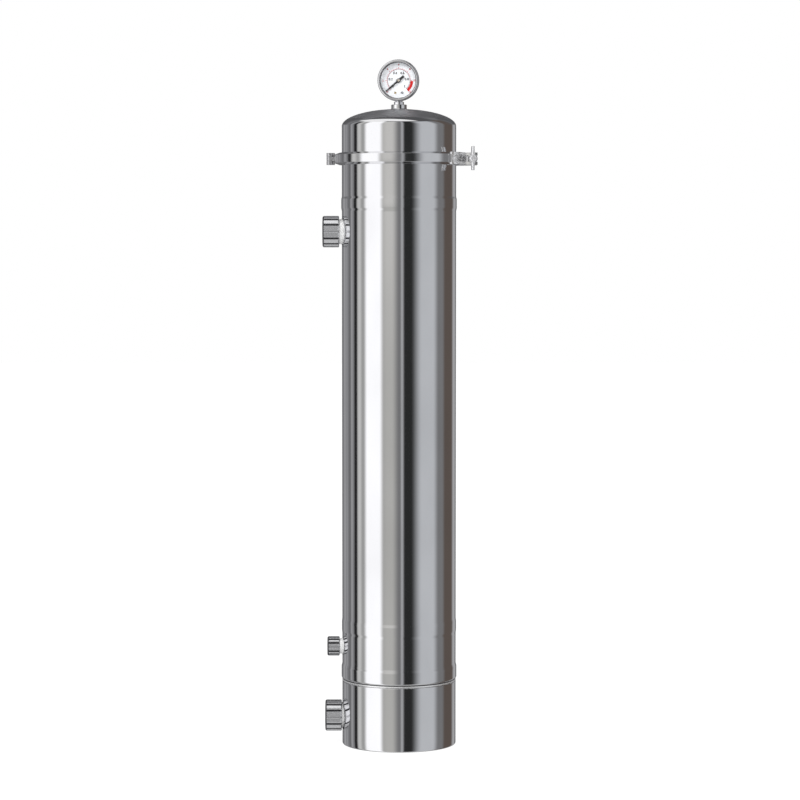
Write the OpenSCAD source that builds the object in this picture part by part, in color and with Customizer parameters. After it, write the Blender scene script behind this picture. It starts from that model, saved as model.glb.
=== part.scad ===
// Ultrafiltration water purifier: a polished stainless steel vessel on a base skirt.
// A hinged V-clamp with a swing bolt and a wing nut holds the domed lid, which carries
// a pressure gauge. A hollow-fibre cartridge stands inside on a spigot.
// The origin is at the centre of the base on the floor, +Z is up, the three ports point
// to -X, the clamp closes at +X and the gauge faces -Y.

/* [Vessel] */
// Outside diameter of the tube, the skirt and the lid
tube_d = 160; // [150:1:170]
// Thickness of the stainless sheet
sheet_t = 1.5; // [1.2:0.1:2]
// Height of the base skirt
skirt_h = 90; // [84:1:96]
// Height of the joint between the vessel and the lid above the floor
joint_z = 824; // [800:1:860]
// Length of the straight wall of the lid above the joint
lid_wall_h = 45.5; // [30:0.5:70]
// Height of the elliptical dome of the lid
dome_h = 24.8; // [18:0.1:40]

/* [Swages] */
// Bottom of the swage that holds the lower head
low_swage_z = 94.5; // [92:0.5:98]
// Bottom of the swage that carries the cartridge support ring
mid_swage_z = 158; // [150:1:165]
// Bottom of the swage under the clamp
top_swage_z = 751.5; // [745:0.5:760]
// Length of each swage along the tube
swage_l = 20; // [14:1:26]

/* [Ports] */
// Outside diameter of the one-inch parallel pipe thread
main_thread_d = 33.25; // [33:0.01:33.5]
// Outside diameter of the half-inch parallel pipe thread
drain_thread_d = 20.96; // [20.8:0.01:21]
// Height of the raw-water inlet at the top of the tube
inlet_z = 722.5; // [700:0.5:735]
// Height of the drain and flushing port
drain_z = 138; // [130:1:145]
// Height of the filtered-water outlet in the skirt
outlet_z = 39.5; // [36:0.5:44]
// Diameter of the two large caps
main_cap_d = 44; // [42:0.5:48]
// Length of the two large caps
main_cap_l = 22.9; // [20:0.1:26]
// Diameter of the small cap
drain_cap_d = 27.5; // [26:0.5:32]
// Length of the small cap
drain_cap_l = 17; // [15:0.5:20]
// Number of grip grooves round a cap
cap_grooves = 14; // [10:1:20]

/* [Clamp] */
// Outside diameter of the clamp band
band_d = 182; // [178:1:188]
// Height of the clamp band and its lugs
band_h = 17; // [15:0.5:20]
// Thickness of the pressed band
band_t = 2.2; // [1.8:0.1:2.6]
// Distance of the hinge pin from the vessel axis
hinge_x = 97; // [95:0.5:99]
// Distance of the swing bolt from the vessel axis
bolt_x = 102.5; // [100:0.5:103]
// Diameter of the swing bolt
bolt_d = 8; // [6:0.5:10]
// Span of the wings of the nut
wing_span = 33; // [28:1:36]

/* [Gauge] */
// Diameter of the gauge bezel
gauge_d = 58; // [50:1:64]
// Height of the centre of the dial
gauge_z = 933; // [928:1:945]
// Turn of the dial away from the viewer, towards the ports
gauge_turn = 6; // [0:1:15]

/* [Cartridge] */
// Diameter of the perforated cartridge tube
cartridge_d = 114; // [100:1:118]
// Height of the top of the cartridge
cartridge_top_z = 800; // [760:1:805]
// Rings of holes along the perforated tube
hole_rings = 8; // [4:1:12]

/* [Hidden] */
$fn = 96;
tube_r = tube_d / 2;
bore_r = tube_r - sheet_t;
lip_r = 1.2;
swage_edge_l = 3.6;
swage_steps = 5;
low_swage_rise = 1.3;
mid_swage_rise = 0.5;
top_swage_rise = 1.1;
dome_steps = 20;
groove_w = 3.4;
tube_bottom_z = skirt_h + groove_w;
flange_sleeve_h = 3;
fork_reach_x = 109.4;

// Sizes of the three ports
main_thread_r = main_thread_d / 2;
main_collar_r = 17.4;
main_bore_r = 13.5;
drain_thread_r = drain_thread_d / 2;
drain_collar_r = 10.9;
drain_bore_r = 7.5;
main_collar_depth = 6;
drain_collar_depth = 4;
collar_gap = 0.4;
thread_play = 0.06;
cap_wall = 3.5;
gasket_t = 2;
inlet_cap_end_x = 107;
outlet_cap_end_x = 104;
drain_cap_end_x = 101;

// The lower head and the pipe under it
head_flange_z = 84;
head_flange_top_z = 110;
head_dish_h = 18;
socket_r = 24;
socket_bore_r = 19;
socket_low_z = 64;
socket_top_z = 104;
elbow_bend_r = socket_low_z - outlet_z;

// The flanges under the clamp and the V groove of its band, as radius and height
flange_r = band_d / 2 - band_t - 0.6;
flange_hub_r = 81.6;
flange_slope = tan(20);
flange_edge_h = 4.3;
flange_play = 0.32;
band_r = band_d / 2;
lip_in_r = 83.2;
seal_r = 1.55;
seal_ring_r = 82.6;
halves_gap = 4;
hinge_gap = 0.8;

// The hinge, the lugs and the bolt
knuckle_r = 4.4;
hinge_pin_r = 2;
pin_play = 0.05;
knuckle_h = 5.4;
knuckle_gap = 0.2;
lug_h = band_h;
lug_weld = 0.2;
bolt_y = 14;
slot_h = bolt_d + 0.7;
bearing_r = 36;
pivot_pin_r = 2.5;
eye_r = 6.4;
eye_h = 8.3;
clevis_r = fork_reach_x - bolt_x;
washer_t = 1.6;
washer_play = 0.3;
washer_y = bolt_y - bearing_r - washer_play;
nut_y = washer_y - washer_t - 0.1;
nut_l = 27;
hub_r = 6.8;
washer_r = 6.9;
wing_t = 5.2;

// The gauge, drawn with its axis along +Z and its front at the top
gauge_r = gauge_d / 2;
case_r = gauge_r - 1.5;
case_wall = 0.9;
case_back_z = -13;
case_front_z = 9;
lens_t = 2;
bezel_front_z = 13;
bezel_back_z = 5.6;
window_r = gauge_r - 3.6;
dial_z = 2;
dial_t = 0.8;
pointer_z = 5;
pointer_rest = 220;
arbor_r = 0.8;
bush_r = 1.6;
dial_screw_r = 0.95;
boss_top_z = 899.6;
boss_r = 11;
boss_spigot_r = 7.5;
stem_thread_r = 6.5;
stem_hex_w = 14;
stem_neck_r = 5;
pad_r = 18;
pad_h = 0.2;

// The cartridge
cartridge_r = cartridge_d / 2;
cartridge_wall = 3;
potting_r = cartridge_r + 3;
lower_potting_z = 114;
potting_h = 34;
potting_lip = 6;
spigot_r = 18.9;
spigot_low_z = 70;
o_ring_r = 1.4;
o_ring_groove = 2.75;
support_t = 3;
support_z = mid_swage_z + swage_l / 2;

steel = [0.80, 0.80, 0.81];
dark_steel = [0.62, 0.62, 0.64];
rubber = [0.12, 0.12, 0.12];
brass = [0.72, 0.60, 0.35];
potting = [0.86, 0.84, 0.76];

// One side of a swage: a smooth step of the outline from radius r to r + rise
function swage_side(z, r, rise) = [
    for (i = [0 : swage_steps])
        [r + rise * (1 - cos(180 * i / swage_steps)) / 2, z + swage_edge_l * i / swage_steps]
];

// A whole swage of the outline at radius r
function swage(z, r, rise) = concat(
    swage_side(z, r, rise),
    swage_side(z + swage_l - swage_edge_l, r + rise, -rise)
);

// The three swages of the tube wall at radius r, from the bottom up
function tube_swages(r) = concat(
    swage(low_swage_z, r, low_swage_rise),
    swage(mid_swage_z, r, mid_swage_rise),
    swage(top_swage_z, r, top_swage_rise)
);

// A quarter of an ellipse from the rim at angle 0 to the angle given
function dome(rx, rz, z, to) = [
    for (i = [0 : dome_steps])
        [rx * cos(to * i / dome_steps), z + rz * sin(to * i / dome_steps)]
];

// A rounded corner about a centre, between two angles
function corner(x, y, r, from, to) = [
    for (i = [0 : 4]) [x + r * cos(from + (to - from) * i / 4), y + r * sin(from + (to - from) * i / 4)]
];

function backwards(points) = [for (i = [len(points) - 1 : -1 : 0]) points[i]];

// Turns a shape drawn along +Z so that it points out of a port, at height z
module at_port(z) {
    translate([0, 0, z]) rotate([0, -90, 0]) children();
}

// A round bar from one distance to another along the port's axis
module bar(from, to, r) {
    translate([0, 0, from]) cylinder(h = to - from, r = r);
}

// The hole in the sheet wall that the collar of a port fills, at height z
module port_hole(z, r) {
    beyond = 5;
    at_port(z) bar(tube_r - 3 * beyond, tube_r + beyond, r);
}

// Puts a shape drawn for the gauge, axis along +Z, at its place on the lid
module at_gauge() {
    translate([0, 0, gauge_z]) rotate([0, 0, -gauge_turn]) rotate([90, 0, 0]) children();
}

// Puts a shape drawn on the bolt, axis along +Z from the pivot, at its place
module at_bolt() {
    translate([bolt_x, bolt_y, joint_z]) rotate([90, 0, 0]) children();
}

// The sheet skirt: a rolled-in foot, a straight wall and a rounded top lip
module base_skirt() {
    foot_r = 72;
    foot_corner_r = 2;
    fold_r = 0.5;
    outline = concat(
        [[foot_r, 0]],
        corner(tube_r - foot_corner_r, foot_corner_r, foot_corner_r, -90, 0),
        corner(tube_r - lip_r, skirt_h - lip_r, lip_r, 0, 90),
        [[bore_r, skirt_h], [bore_r, sheet_t + fold_r], [bore_r - fold_r, sheet_t], [foot_r, sheet_t]]
    );
    color(steel) difference() {
        rotate_extrude() polygon(outline);
        port_hole(outlet_z, main_collar_r);
    }
}

// The dished head that closes the vessel inside the skirt
module lower_head() {
    outer_stop = acos(socket_r / bore_r);
    inner_r = bore_r - sheet_t;
    inner_stop = acos(socket_r / inner_r);
    outer_dish = dome(bore_r, -head_dish_h, head_flange_z, outer_stop);
    inner_dish = dome(inner_r, sheet_t - head_dish_h, head_flange_z, inner_stop);
    rim = [[inner_r, head_flange_top_z], [bore_r, head_flange_top_z]];
    color(steel) rotate_extrude() polygon(concat(backwards(outer_dish), backwards(rim), inner_dish));
}

// The welded socket in the middle of the head, bored for the cartridge spigot
module outlet_socket() {
    seat_z = 70;
    lead_in = 1.5;
    color(dark_steel) difference() {
        translate([0, 0, socket_low_z]) cylinder(h = socket_top_z - socket_low_z, r = socket_r);
        translate([0, 0, seat_z]) cylinder(h = socket_top_z, r = socket_bore_r);
        translate([0, 0, socket_low_z - 1]) cylinder(h = seat_z, r = main_bore_r);
        translate([0, 0, socket_top_z - lead_in])
            cylinder(h = lead_in + 0.01, r1 = socket_bore_r, r2 = socket_bore_r + lead_in);
    }
}

// The pipe bend from the socket to the outlet
module outlet_elbow() {
    color(dark_steel) translate([-elbow_bend_r, 0, socket_low_z]) rotate([-90, 0, 0])
        rotate_extrude(angle = 90) translate([elbow_bend_r, 0]) difference() {
            circle(r = main_thread_r);
            circle(r = main_bore_r);
        }
}

// A welded male pipe end with a collar at the wall it passes through
module nipple(z, from, to, thread_r, collar_from, collar_to, collar_r, hole_r) {
    chamfer = 1;
    color(steel) at_port(z) difference() {
        union() {
            bar(from, to - chamfer, thread_r);
            translate([0, 0, to - chamfer]) cylinder(h = chamfer, r1 = thread_r, r2 = thread_r - chamfer);
            bar(collar_from, collar_to, collar_r);
        }
        bar(from - 1, to + 1, hole_r);
    }
}

module outlet_nipple() {
    nipple(outlet_z, elbow_bend_r, outlet_cap_end_x - cap_wall - gasket_t, main_thread_r,
        tube_r - main_collar_depth, outlet_cap_end_x - main_cap_l - collar_gap, main_collar_r, main_bore_r);
}

module inlet_nipple() {
    low_x = tube_r - main_collar_depth;
    nipple(inlet_z, low_x, inlet_cap_end_x - cap_wall - gasket_t, main_thread_r,
        low_x, inlet_cap_end_x - main_cap_l - collar_gap, main_collar_r, main_bore_r);
}

module drain_nipple() {
    low_x = tube_r - drain_collar_depth;
    nipple(drain_z, low_x, drain_cap_end_x - cap_wall - gasket_t, drain_thread_r,
        low_x, drain_cap_end_x - drain_cap_l - collar_gap, drain_collar_r, drain_bore_r);
}

// The pressure tube with its three swages and two welded-in port holes
module body_tube() {
    top_z = joint_z - flange_sleeve_h;
    lip_end = -30;
    outer = concat(
        corner(tube_r - lip_r, tube_bottom_z + lip_r, lip_r, -90, lip_end),
        tube_swages(tube_r),
        [[tube_r, top_z]]
    );
    inner = concat([[bore_r, tube_bottom_z]], tube_swages(bore_r), [[bore_r, top_z]]);
    color(steel) difference() {
        rotate_extrude() polygon(concat(outer, backwards(inner)));
        port_hole(inlet_z, main_collar_r);
        port_hole(drain_z, drain_collar_r);
    }
}

// The ring that steadies the foot of the cartridge, notched for the water to pass
module support_ring() {
    notches = 8;
    notch_r = 9;
    notch_ring_r = cartridge_r + 4;
    play = 0.3;
    color(dark_steel) difference() {
        translate([0, 0, support_z - support_t / 2]) cylinder(h = support_t, r = bore_r + mid_swage_rise);
        translate([0, 0, support_z - support_t]) cylinder(h = 2 * support_t, r = cartridge_r + play);
        for (i = [0 : notches - 1])
            rotate([0, 0, (i + 0.5) * 360 / notches])
                translate([notch_ring_r, 0, support_z - support_t])
                    cylinder(h = 2 * support_t, r = notch_r);
    }
}

// Half the section of a clamp flange: a conical back that the band draws tight
module flange_section(side) {
    cone_h = (flange_r - flange_hub_r) * flange_slope;
    hub_h = 8.4;
    hub_bevel = 1.2;
    polygon([
        [bore_r, 0],
        [flange_r, 0],
        [flange_r, side * flange_edge_h],
        [flange_hub_r, side * (flange_edge_h + cone_h)],
        [flange_hub_r, side * (hub_h - hub_bevel)],
        [tube_r, side * hub_h],
        [tube_r, side * flange_sleeve_h],
        [bore_r, side * flange_sleeve_h],
    ]);
}

// The lower flange, welded to the tube, with the groove for the seal in its face
module tube_flange() {
    groove_half_w = 2.1;
    color(steel) translate([0, 0, joint_z]) rotate_extrude() difference() {
        flange_section(-1);
        translate([seal_ring_r - groove_half_w, -2 * seal_r]) square([2 * groove_half_w, 2 * seal_r + 1]);
    }
}

// The round sealing ring in the groove of the lower flange
module lid_seal() {
    color(rubber) translate([0, 0, joint_z - seal_r])
        rotate_extrude() translate([seal_ring_r, 0]) circle(r = seal_r);
}

// The upper flange, welded to the lid
module lid_flange() {
    color(steel) translate([0, 0, joint_z]) rotate_extrude() flange_section(1);
}

// The lid: a straight wall and an elliptical dome with a flat pad for the gauge boss
module lid_shell() {
    wall_low_z = joint_z + flange_sleeve_h;
    dome_z = joint_z + lid_wall_h;
    pad_step = 1;
    pad_slope = 0.2;
    pad_stop = acos((pad_r + pad_step) / tube_r);
    pad_rim_z = dome_z + dome_h * sin(acos(pad_r / tube_r)) + pad_h;
    top_z = dome_z + dome_h + pad_h;
    inner_stop = acos(boss_spigot_r / bore_r);
    outer = concat(
        [[tube_r, wall_low_z]],
        dome(tube_r, dome_h, dome_z, pad_stop),
        [[pad_r, pad_rim_z], [pad_r / 2, top_z - pad_slope], [boss_spigot_r, top_z]]
    );
    inner = concat([[bore_r, wall_low_z]], dome(bore_r, dome_h - sheet_t, dome_z, inner_stop));
    color(steel) rotate_extrude() polygon(concat(outer, backwards(inner)));
}

// The threaded boss welded through the top of the lid
module gauge_boss() {
    chamfer = 0.8;
    seat_z = joint_z + lid_wall_h + dome_h + pad_h;
    spigot_l = 5;
    spigot_z = seat_z - spigot_l;
    color(steel) difference() {
        union() {
            translate([0, 0, spigot_z]) cylinder(h = boss_top_z - spigot_z - 1, r = boss_spigot_r);
            translate([0, 0, seat_z]) cylinder(h = boss_top_z - chamfer - seat_z, r = boss_r);
            translate([0, 0, boss_top_z - chamfer])
                cylinder(h = chamfer, r1 = boss_r, r2 = boss_r - chamfer);
        }
        translate([0, 0, spigot_z - 1]) cylinder(h = boss_top_z, r = stem_thread_r);
    }
}

// The stem of the gauge: a threaded end, a hexagon for the spanner and a neck
module gauge_stem() {
    thread_low_z = 891;
    hex_gap = 0.4;
    hex_top_z = gauge_z - gauge_r - hex_gap;
    neck_top_z = gauge_z - case_r + case_wall;
    pressure_hole_r = 2;
    hex_r = stem_hex_w / 2 / cos(30);
    color(brass) difference() {
        union() {
            translate([0, 0, thread_low_z]) cylinder(h = boss_top_z - thread_low_z, r = stem_thread_r);
            translate([0, 0, boss_top_z]) rotate([0, 0, 30])
                cylinder(h = hex_top_z - boss_top_z, r = hex_r, $fn = 6);
            translate([0, 0, hex_top_z - 1]) cylinder(h = neck_top_z - hex_top_z + 1, r = stem_neck_r);
        }
        translate([0, 0, thread_low_z - 1]) cylinder(h = neck_top_z, r = pressure_hole_r);
    }
}

// The pressed case of the gauge, open at the front
module gauge_case() {
    back_corner_r = 3;
    outline = concat(
        [[0, case_back_z]],
        corner(case_r - back_corner_r, case_back_z + back_corner_r, back_corner_r, -90, 0),
        [[case_r, case_front_z], [case_r - case_wall, case_front_z]],
        corner(case_r - back_corner_r, case_back_z + back_corner_r, back_corner_r - case_wall, 0, -90),
        [[0, case_back_z + case_wall]]
    );
    color(dark_steel) at_gauge() difference() {
        rotate_extrude() polygon(outline);
        rotate([90, 0, 0]) bar(case_r - stem_neck_r, case_r + stem_neck_r, stem_neck_r);
    }
}

// The curved pressure tube, soldered to the block under it
module bourdon_tube() {
    coil_r = 18.5;
    section_h = 5;
    section_w = 2.4;
    start = -71.4;
    turn = 240;
    coil_z = -7;
    color(brass) at_gauge() translate([0, 0, coil_z]) rotate([0, 0, start])
        rotate_extrude(angle = turn) translate([coil_r, 0]) union() {
            square([section_w, section_h], center = true);
            translate([0, section_h / 2]) circle(r = section_w / 2);
            translate([0, -section_h / 2]) circle(r = section_w / 2);
        }
}

// The movement: the block on the stem, two plates on posts and the pointer's arbor
module gauge_movement() {
    block_w = 11;
    block_r = case_r - case_wall;
    plate_low_y = -14;
    plate_w = 16;
    plate_h = 17;
    plate_t = 1;
    post_r = 1.1;
    pinion_r = 3;
    back_plate_z = -10;
    front_plate_z = -1.5;
    color(brass) at_gauge() {
        difference() {
            intersection() {
                translate([-block_w / 2, -block_r, back_plate_z])
                    cube([block_w, block_r + plate_low_y + 1, dial_z - back_plate_z]);
                translate([0, 0, back_plate_z - 1]) cylinder(h = 20, r = block_r);
            }
            dial_screw_places() translate([0, 0, dial_z - 4]) cylinder(h = 5, r = dial_screw_r + pin_play);
        }
        for (z = [back_plate_z, front_plate_z])
            translate([-plate_w / 2, plate_low_y, z]) cube([plate_w, plate_h, plate_t]);
        for (x = [-1, 1], y = [plate_low_y + 2.5, plate_low_y + plate_h - 2.5])
            translate([x * (plate_w / 2 - 2), y, back_plate_z])
                cylinder(h = front_plate_z - back_plate_z + 0.5, r = post_r);
        translate([0, 0, back_plate_z]) cylinder(h = pointer_z + 1.6 - back_plate_z, r = arbor_r);
        translate([0, 0, back_plate_z + 2]) cylinder(h = 3, r = pinion_r);
    }
}

// The dial plate, with a clearance hole for the arbor and two for its screws
module gauge_dial() {
    play = 0.1;
    hole_r = 2;
    color("white") at_gauge() difference() {
        translate([0, 0, dial_z]) cylinder(h = dial_t, r = case_r - case_wall - play);
        translate([0, 0, dial_z - 1]) cylinder(h = dial_t + 2, r = hole_r);
        dial_screw_places() translate([0, 0, dial_z - 1])
            cylinder(h = dial_t + 2, r = dial_screw_r + pin_play);
    }
}

// The two places of the screws on the dial, low on either side
module dial_screw_places() {
    screw_x = 4.8;
    screw_y = -16.8;
    for (side = [-1, 1]) translate([side * screw_x, screw_y, 0]) children();
}

// Two cheese-head screws that hold the dial to the block of the movement
module dial_screws() {
    head_r = 1.7;
    color(dark_steel) at_gauge() dial_screw_places() {
        translate([0, 0, dial_z + dial_t]) cylinder(h = 0.9, r = head_r);
        translate([0, 0, dial_z - 3]) cylinder(h = dial_t + 3.2, r = dial_screw_r);
    }
}

// The bush that the pointer is riveted to, a running fit over the arbor
module pointer_bush() {
    color(brass) at_gauge() difference() {
        union() {
            translate([0, 0, pointer_z - 1]) cylinder(h = 1, r = 2.2);
            translate([0, 0, pointer_z]) cylinder(h = 1.4, r = bush_r);
        }
        translate([0, 0, dial_z]) cylinder(h = 9, r = arbor_r + pin_play);
    }
}

// The pointer: a disc, a long tapered blade and a broad counterweight tail
module gauge_pointer() {
    blade_l = 23.5;
    blade_w = 2.4;
    tip_w = 0.6;
    tail_l = 9.5;
    tail_w = 3.4;
    pointer_t = 0.6;
    disc_r = 3;
    color("black") at_gauge() rotate([0, 0, pointer_rest]) translate([0, 0, pointer_z])
        linear_extrude(pointer_t) difference() {
            union() {
                circle(r = disc_r);
                polygon([[0, -blade_w / 2], [blade_l, -tip_w / 2], [blade_l, tip_w / 2], [0, blade_w / 2]]);
                translate([-tail_l, -tail_w / 2]) square([tail_l, tail_w]);
            }
            circle(r = bush_r);
        }
}

// The flat window of the gauge
module gauge_lens() {
    color([0.85, 0.92, 0.95, 0.3]) at_gauge()
        translate([0, 0, case_front_z]) cylinder(h = lens_t, r = case_r - 0.1);
}

// The pressed ring that clips the lens to the case
module gauge_bezel() {
    roll_r = 2.2;
    lens_top_z = case_front_z + lens_t;
    outline = concat(
        [[case_r, bezel_back_z], [gauge_r, bezel_back_z]],
        corner(gauge_r - roll_r, bezel_front_z - roll_r, roll_r, 0, 90),
        [[window_r + 0.6, bezel_front_z - 0.3], [window_r, bezel_front_z - 1], [window_r, lens_top_z],
            [case_r, lens_top_z]]
    );
    color(steel) at_gauge() rotate_extrude() polygon(outline);
}

// The section of the V-clamp band: a flat web with two lips that slope inwards
module band_section() {
    slope_h = (band_r - lip_in_r) * flange_slope;
    edge_h = band_h / 2 - slope_h;
    inner_edge_h = flange_edge_h + flange_play - (band_r - band_t - flange_r) * flange_slope;
    inner_lip_h = flange_edge_h + flange_play + (flange_r - lip_in_r) * flange_slope;
    polygon([
        [lip_in_r, band_h / 2],
        [band_r - 0.4, edge_h + 0.3],
        [band_r, edge_h - 0.4],
        [band_r, 0.4 - edge_h],
        [band_r - 0.4, -edge_h - 0.3],
        [lip_in_r, -band_h / 2],
        [lip_in_r, -inner_lip_h],
        [band_r - band_t, -inner_edge_h],
        [band_r - band_t, inner_edge_h],
        [lip_in_r, inner_lip_h],
    ]);
}

// Half of the band: side 1 is the rear half and side -1 is the front half
module band_half(side) {
    cutter = band_r + 10;
    intersection() {
        rotate_extrude() band_section();
        union() {
            translate([0, side > 0 ? halves_gap : -cutter, -band_h])
                cube([cutter, cutter - halves_gap, 2 * band_h]);
            translate([-cutter, side > 0 ? hinge_gap : -cutter, -band_h])
                cube([cutter + 1, cutter - hinge_gap, 2 * band_h]);
        }
    }
}

// A hinge knuckle with the strap that ties it to the band
module knuckle(side, z) {
    strap_w = knuckle_r - hinge_gap;
    strap_y = side > 0 ? hinge_gap : -knuckle_r;
    weld_depth = 1.4;
    strap_end_x = band_r - weld_depth;
    translate([-hinge_x, 0, z - knuckle_h / 2]) cylinder(h = knuckle_h, r = knuckle_r);
    translate([-hinge_x, strap_y, z - knuckle_h / 2]) cube([hinge_x - strap_end_x, strap_w, knuckle_h]);
}

// What a lug leaves free: the space inside the band, less the depth of its weld
module inside_band() {
    translate([0, 0, -band_h]) cylinder(h = 2 * band_h, r = band_r - lug_weld);
}

// What is drilled along the hinge axis
module hinge_bore() {
    translate([-hinge_x, 0, -band_h]) cylinder(h = 2 * band_h, r = hinge_pin_r + pin_play);
}

// The rear half of the clamp, with two knuckles and the clevis of the swing bolt
module clamp_rear() {
    knuckle_z = knuckle_h + knuckle_gap;
    clevis_gap_x = bolt_x - eye_r - 1;
    clevis_outline = [
        [84, halves_gap], [88, halves_gap], [bolt_x, bolt_y - clevis_r],
        [bolt_x + 4.4, bolt_y + 4.7], [84, 39], [76, 49], [70, 44]
    ];
    color(steel) translate([0, 0, joint_z]) difference() {
        union() {
            band_half(1);
            knuckle(1, knuckle_z);
            knuckle(1, -knuckle_z);
            difference() {
                translate([0, 0, -lug_h / 2]) linear_extrude(lug_h) union() {
                    translate([bolt_x, bolt_y]) circle(r = clevis_r);
                    polygon(clevis_outline);
                }
                inside_band();
                translate([clevis_gap_x, -band_r, -slot_h / 2]) cube([band_r, 2 * band_r, slot_h]);
            }
        }
        hinge_bore();
        translate([bolt_x, bolt_y, -band_h]) cylinder(h = 2 * band_h, r = pivot_pin_r + pin_play);
    }
}

// The front half of the clamp, with the middle knuckle and the forked lug
// whose bearing face is an arc about the pivot pin of the bolt
module clamp_front() {
    arm_t = 3.2;
    arm_start = -39.3;
    arm_start_way = [cos(arm_start), sin(arm_start)];
    arm_low_x = 60;
    arm_high_x = 94;
    fork_back_y = -9;
    fork_root_x = band_r - 4;
    pocket_x = 74;
    pocket_r = slot_h / 2;
    far = 130;
    color(steel) translate([0, 0, joint_z]) difference() {
        union() {
            band_half(-1);
            knuckle(-1, 0);
            difference() {
                translate([0, 0, -lug_h / 2]) linear_extrude(lug_h) union() {
                    intersection() {
                        circle(r = band_r + arm_t);
                        polygon([[0, 0], far * arm_start_way, [far, -far], [far, fork_back_y]]);
                        translate([arm_low_x, -far]) square([arm_high_x - arm_low_x, far + fork_back_y]);
                    }
                    intersection() {
                        translate([bolt_x, bolt_y]) circle(r = bearing_r);
                        translate([fork_root_x, -far])
                            square([fork_reach_x - fork_root_x, far + fork_back_y]);
                    }
                }
                inside_band();
            }
        }
        hinge_bore();
        difference() {
            union() {
                translate([pocket_x + pocket_r, -far, -slot_h / 2]) cube([far, far, slot_h]);
                translate([pocket_x + pocket_r, 0, 0]) rotate([90, 0, 0]) cylinder(h = far, r = pocket_r);
            }
            translate([0, 0, -band_h]) cylinder(h = 2 * band_h, r = band_r);
        }
    }
}

// The riveted pin of the hinge
module hinge_pin() {
    pin_l = 3 * knuckle_h + 2 * knuckle_gap;
    color(dark_steel) translate([-hinge_x, 0, joint_z - pin_l / 2]) cylinder(h = pin_l, r = hinge_pin_r);
}

// The riveted pin in the clevis that the swing bolt turns on
module pivot_pin() {
    color(dark_steel) translate([bolt_x, bolt_y, joint_z - lug_h / 2]) cylinder(h = lug_h, r = pivot_pin_r);
}

// The swing bolt: an eye on the pivot pin and a threaded shank
module swing_bolt() {
    bolt_l = bolt_y - nut_y + nut_l - 1;
    chamfer = 1;
    color(steel) difference() {
        union() {
            translate([bolt_x, bolt_y, joint_z - eye_h / 2]) cylinder(h = eye_h, r = eye_r);
            at_bolt() bar(eye_r - 2, bolt_l - chamfer, bolt_d / 2);
            at_bolt() translate([0, 0, bolt_l - chamfer])
                cylinder(h = chamfer, r1 = bolt_d / 2, r2 = bolt_d / 2 - chamfer);
        }
        translate([bolt_x, bolt_y, joint_z - eye_h]) cylinder(h = 2 * eye_h, r = pivot_pin_r + pin_play);
    }
}

// The plain washer under the wing nut, loose on the bolt
module nut_washer() {
    washer_from = bolt_y - washer_y;
    hole_play = 0.2;
    color(steel) at_bolt() difference() {
        bar(washer_from, washer_from + washer_t, washer_r);
        bar(washer_from - 1, washer_from + washer_t + 1, bolt_d / 2 + hole_play);
    }
}

// The wing nut: a tapered hub and two rounded wings that flare away from the washer
module wing_nut() {
    base = bolt_y - nut_y;
    top = base + nut_l;
    hub_l = nut_l - 3;
    hub_straight_l = 10;
    hub_top_r = hub_r - 1.4;
    root_r = 2;
    tip_r = 3.6;
    tip_t = wing_t - 1.4;
    heel_r = 3.4;
    heel_t = wing_t - 0.8;
    color(steel) at_bolt() difference() {
        union() {
            translate([0, 0, base]) cylinder(h = hub_straight_l, r = hub_r);
            translate([0, 0, base + hub_straight_l])
                cylinder(h = hub_l - hub_straight_l, r1 = hub_r, r2 = hub_top_r);
            for (side = [-1, 1]) hull() {
                wing_corner(0, base + 6, root_r, wing_t);
                wing_corner(0, top - 8, root_r, wing_t);
                wing_corner(side * (wing_span / 2 - tip_r), top - tip_r, tip_r, tip_t);
                wing_corner(side * (wing_span / 2 - heel_r), top - 7.5, heel_r, heel_t);
            }
        }
        bar(base - 1, base + nut_l + 1, bolt_d / 2 + pin_play);
    }
}

// A corner of a wing: a short round pin across the wing, at a height above the axis
module wing_corner(up, along, r, t) {
    translate([0, up, along]) rotate([0, 90, 0]) cylinder(h = t, r = r, center = true, $fn = 32);
}

// A threaded cap: a fluted cup with a chamfered end
module cap(z, end_x, length, d, thread_r) {
    chamfer = 1.6;
    mouth_chamfer = 0.8;
    groove_r = 1.5;
    groove_offset = 0.5;
    open_x = end_x - length;
    color(steel) at_port(z) difference() {
        union() {
            translate([0, 0, open_x]) cylinder(h = mouth_chamfer, r1 = d / 2 - mouth_chamfer, r2 = d / 2);
            bar(open_x + mouth_chamfer, end_x - chamfer, d / 2);
            translate([0, 0, end_x - chamfer]) cylinder(h = chamfer, r1 = d / 2, r2 = d / 2 - chamfer);
        }
        bar(open_x - 1, end_x - cap_wall, thread_r + thread_play);
        for (i = [0 : cap_grooves - 1])
            rotate([0, 0, (i + 0.5) * 360 / cap_grooves])
                translate([d / 2 + groove_offset, 0, open_x - 1])
                    cylinder(h = length + 2, r = groove_r, $fn = 24);
    }
}

// The flat sealing ring in the bottom of a cap
module gasket(z, end_x, thread_r, bore_r) {
    seat_x = end_x - cap_wall;
    play = 0.2;
    overlap = 1;
    color(rubber) at_port(z) difference() {
        bar(seat_x - gasket_t, seat_x, thread_r - play);
        bar(seat_x - gasket_t - 1, seat_x + 1, bore_r - overlap);
    }
}

module inlet_cap() {
    cap(inlet_z, inlet_cap_end_x, main_cap_l, main_cap_d, main_thread_r);
}

module inlet_gasket() {
    gasket(inlet_z, inlet_cap_end_x, main_thread_r, main_bore_r);
}

module drain_cap() {
    cap(drain_z, drain_cap_end_x, drain_cap_l, drain_cap_d, drain_thread_r);
}

module drain_gasket() {
    gasket(drain_z, drain_cap_end_x, drain_thread_r, drain_bore_r);
}

module outlet_cap() {
    cap(outlet_z, outlet_cap_end_x, main_cap_l, main_cap_d, main_thread_r);
}

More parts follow.
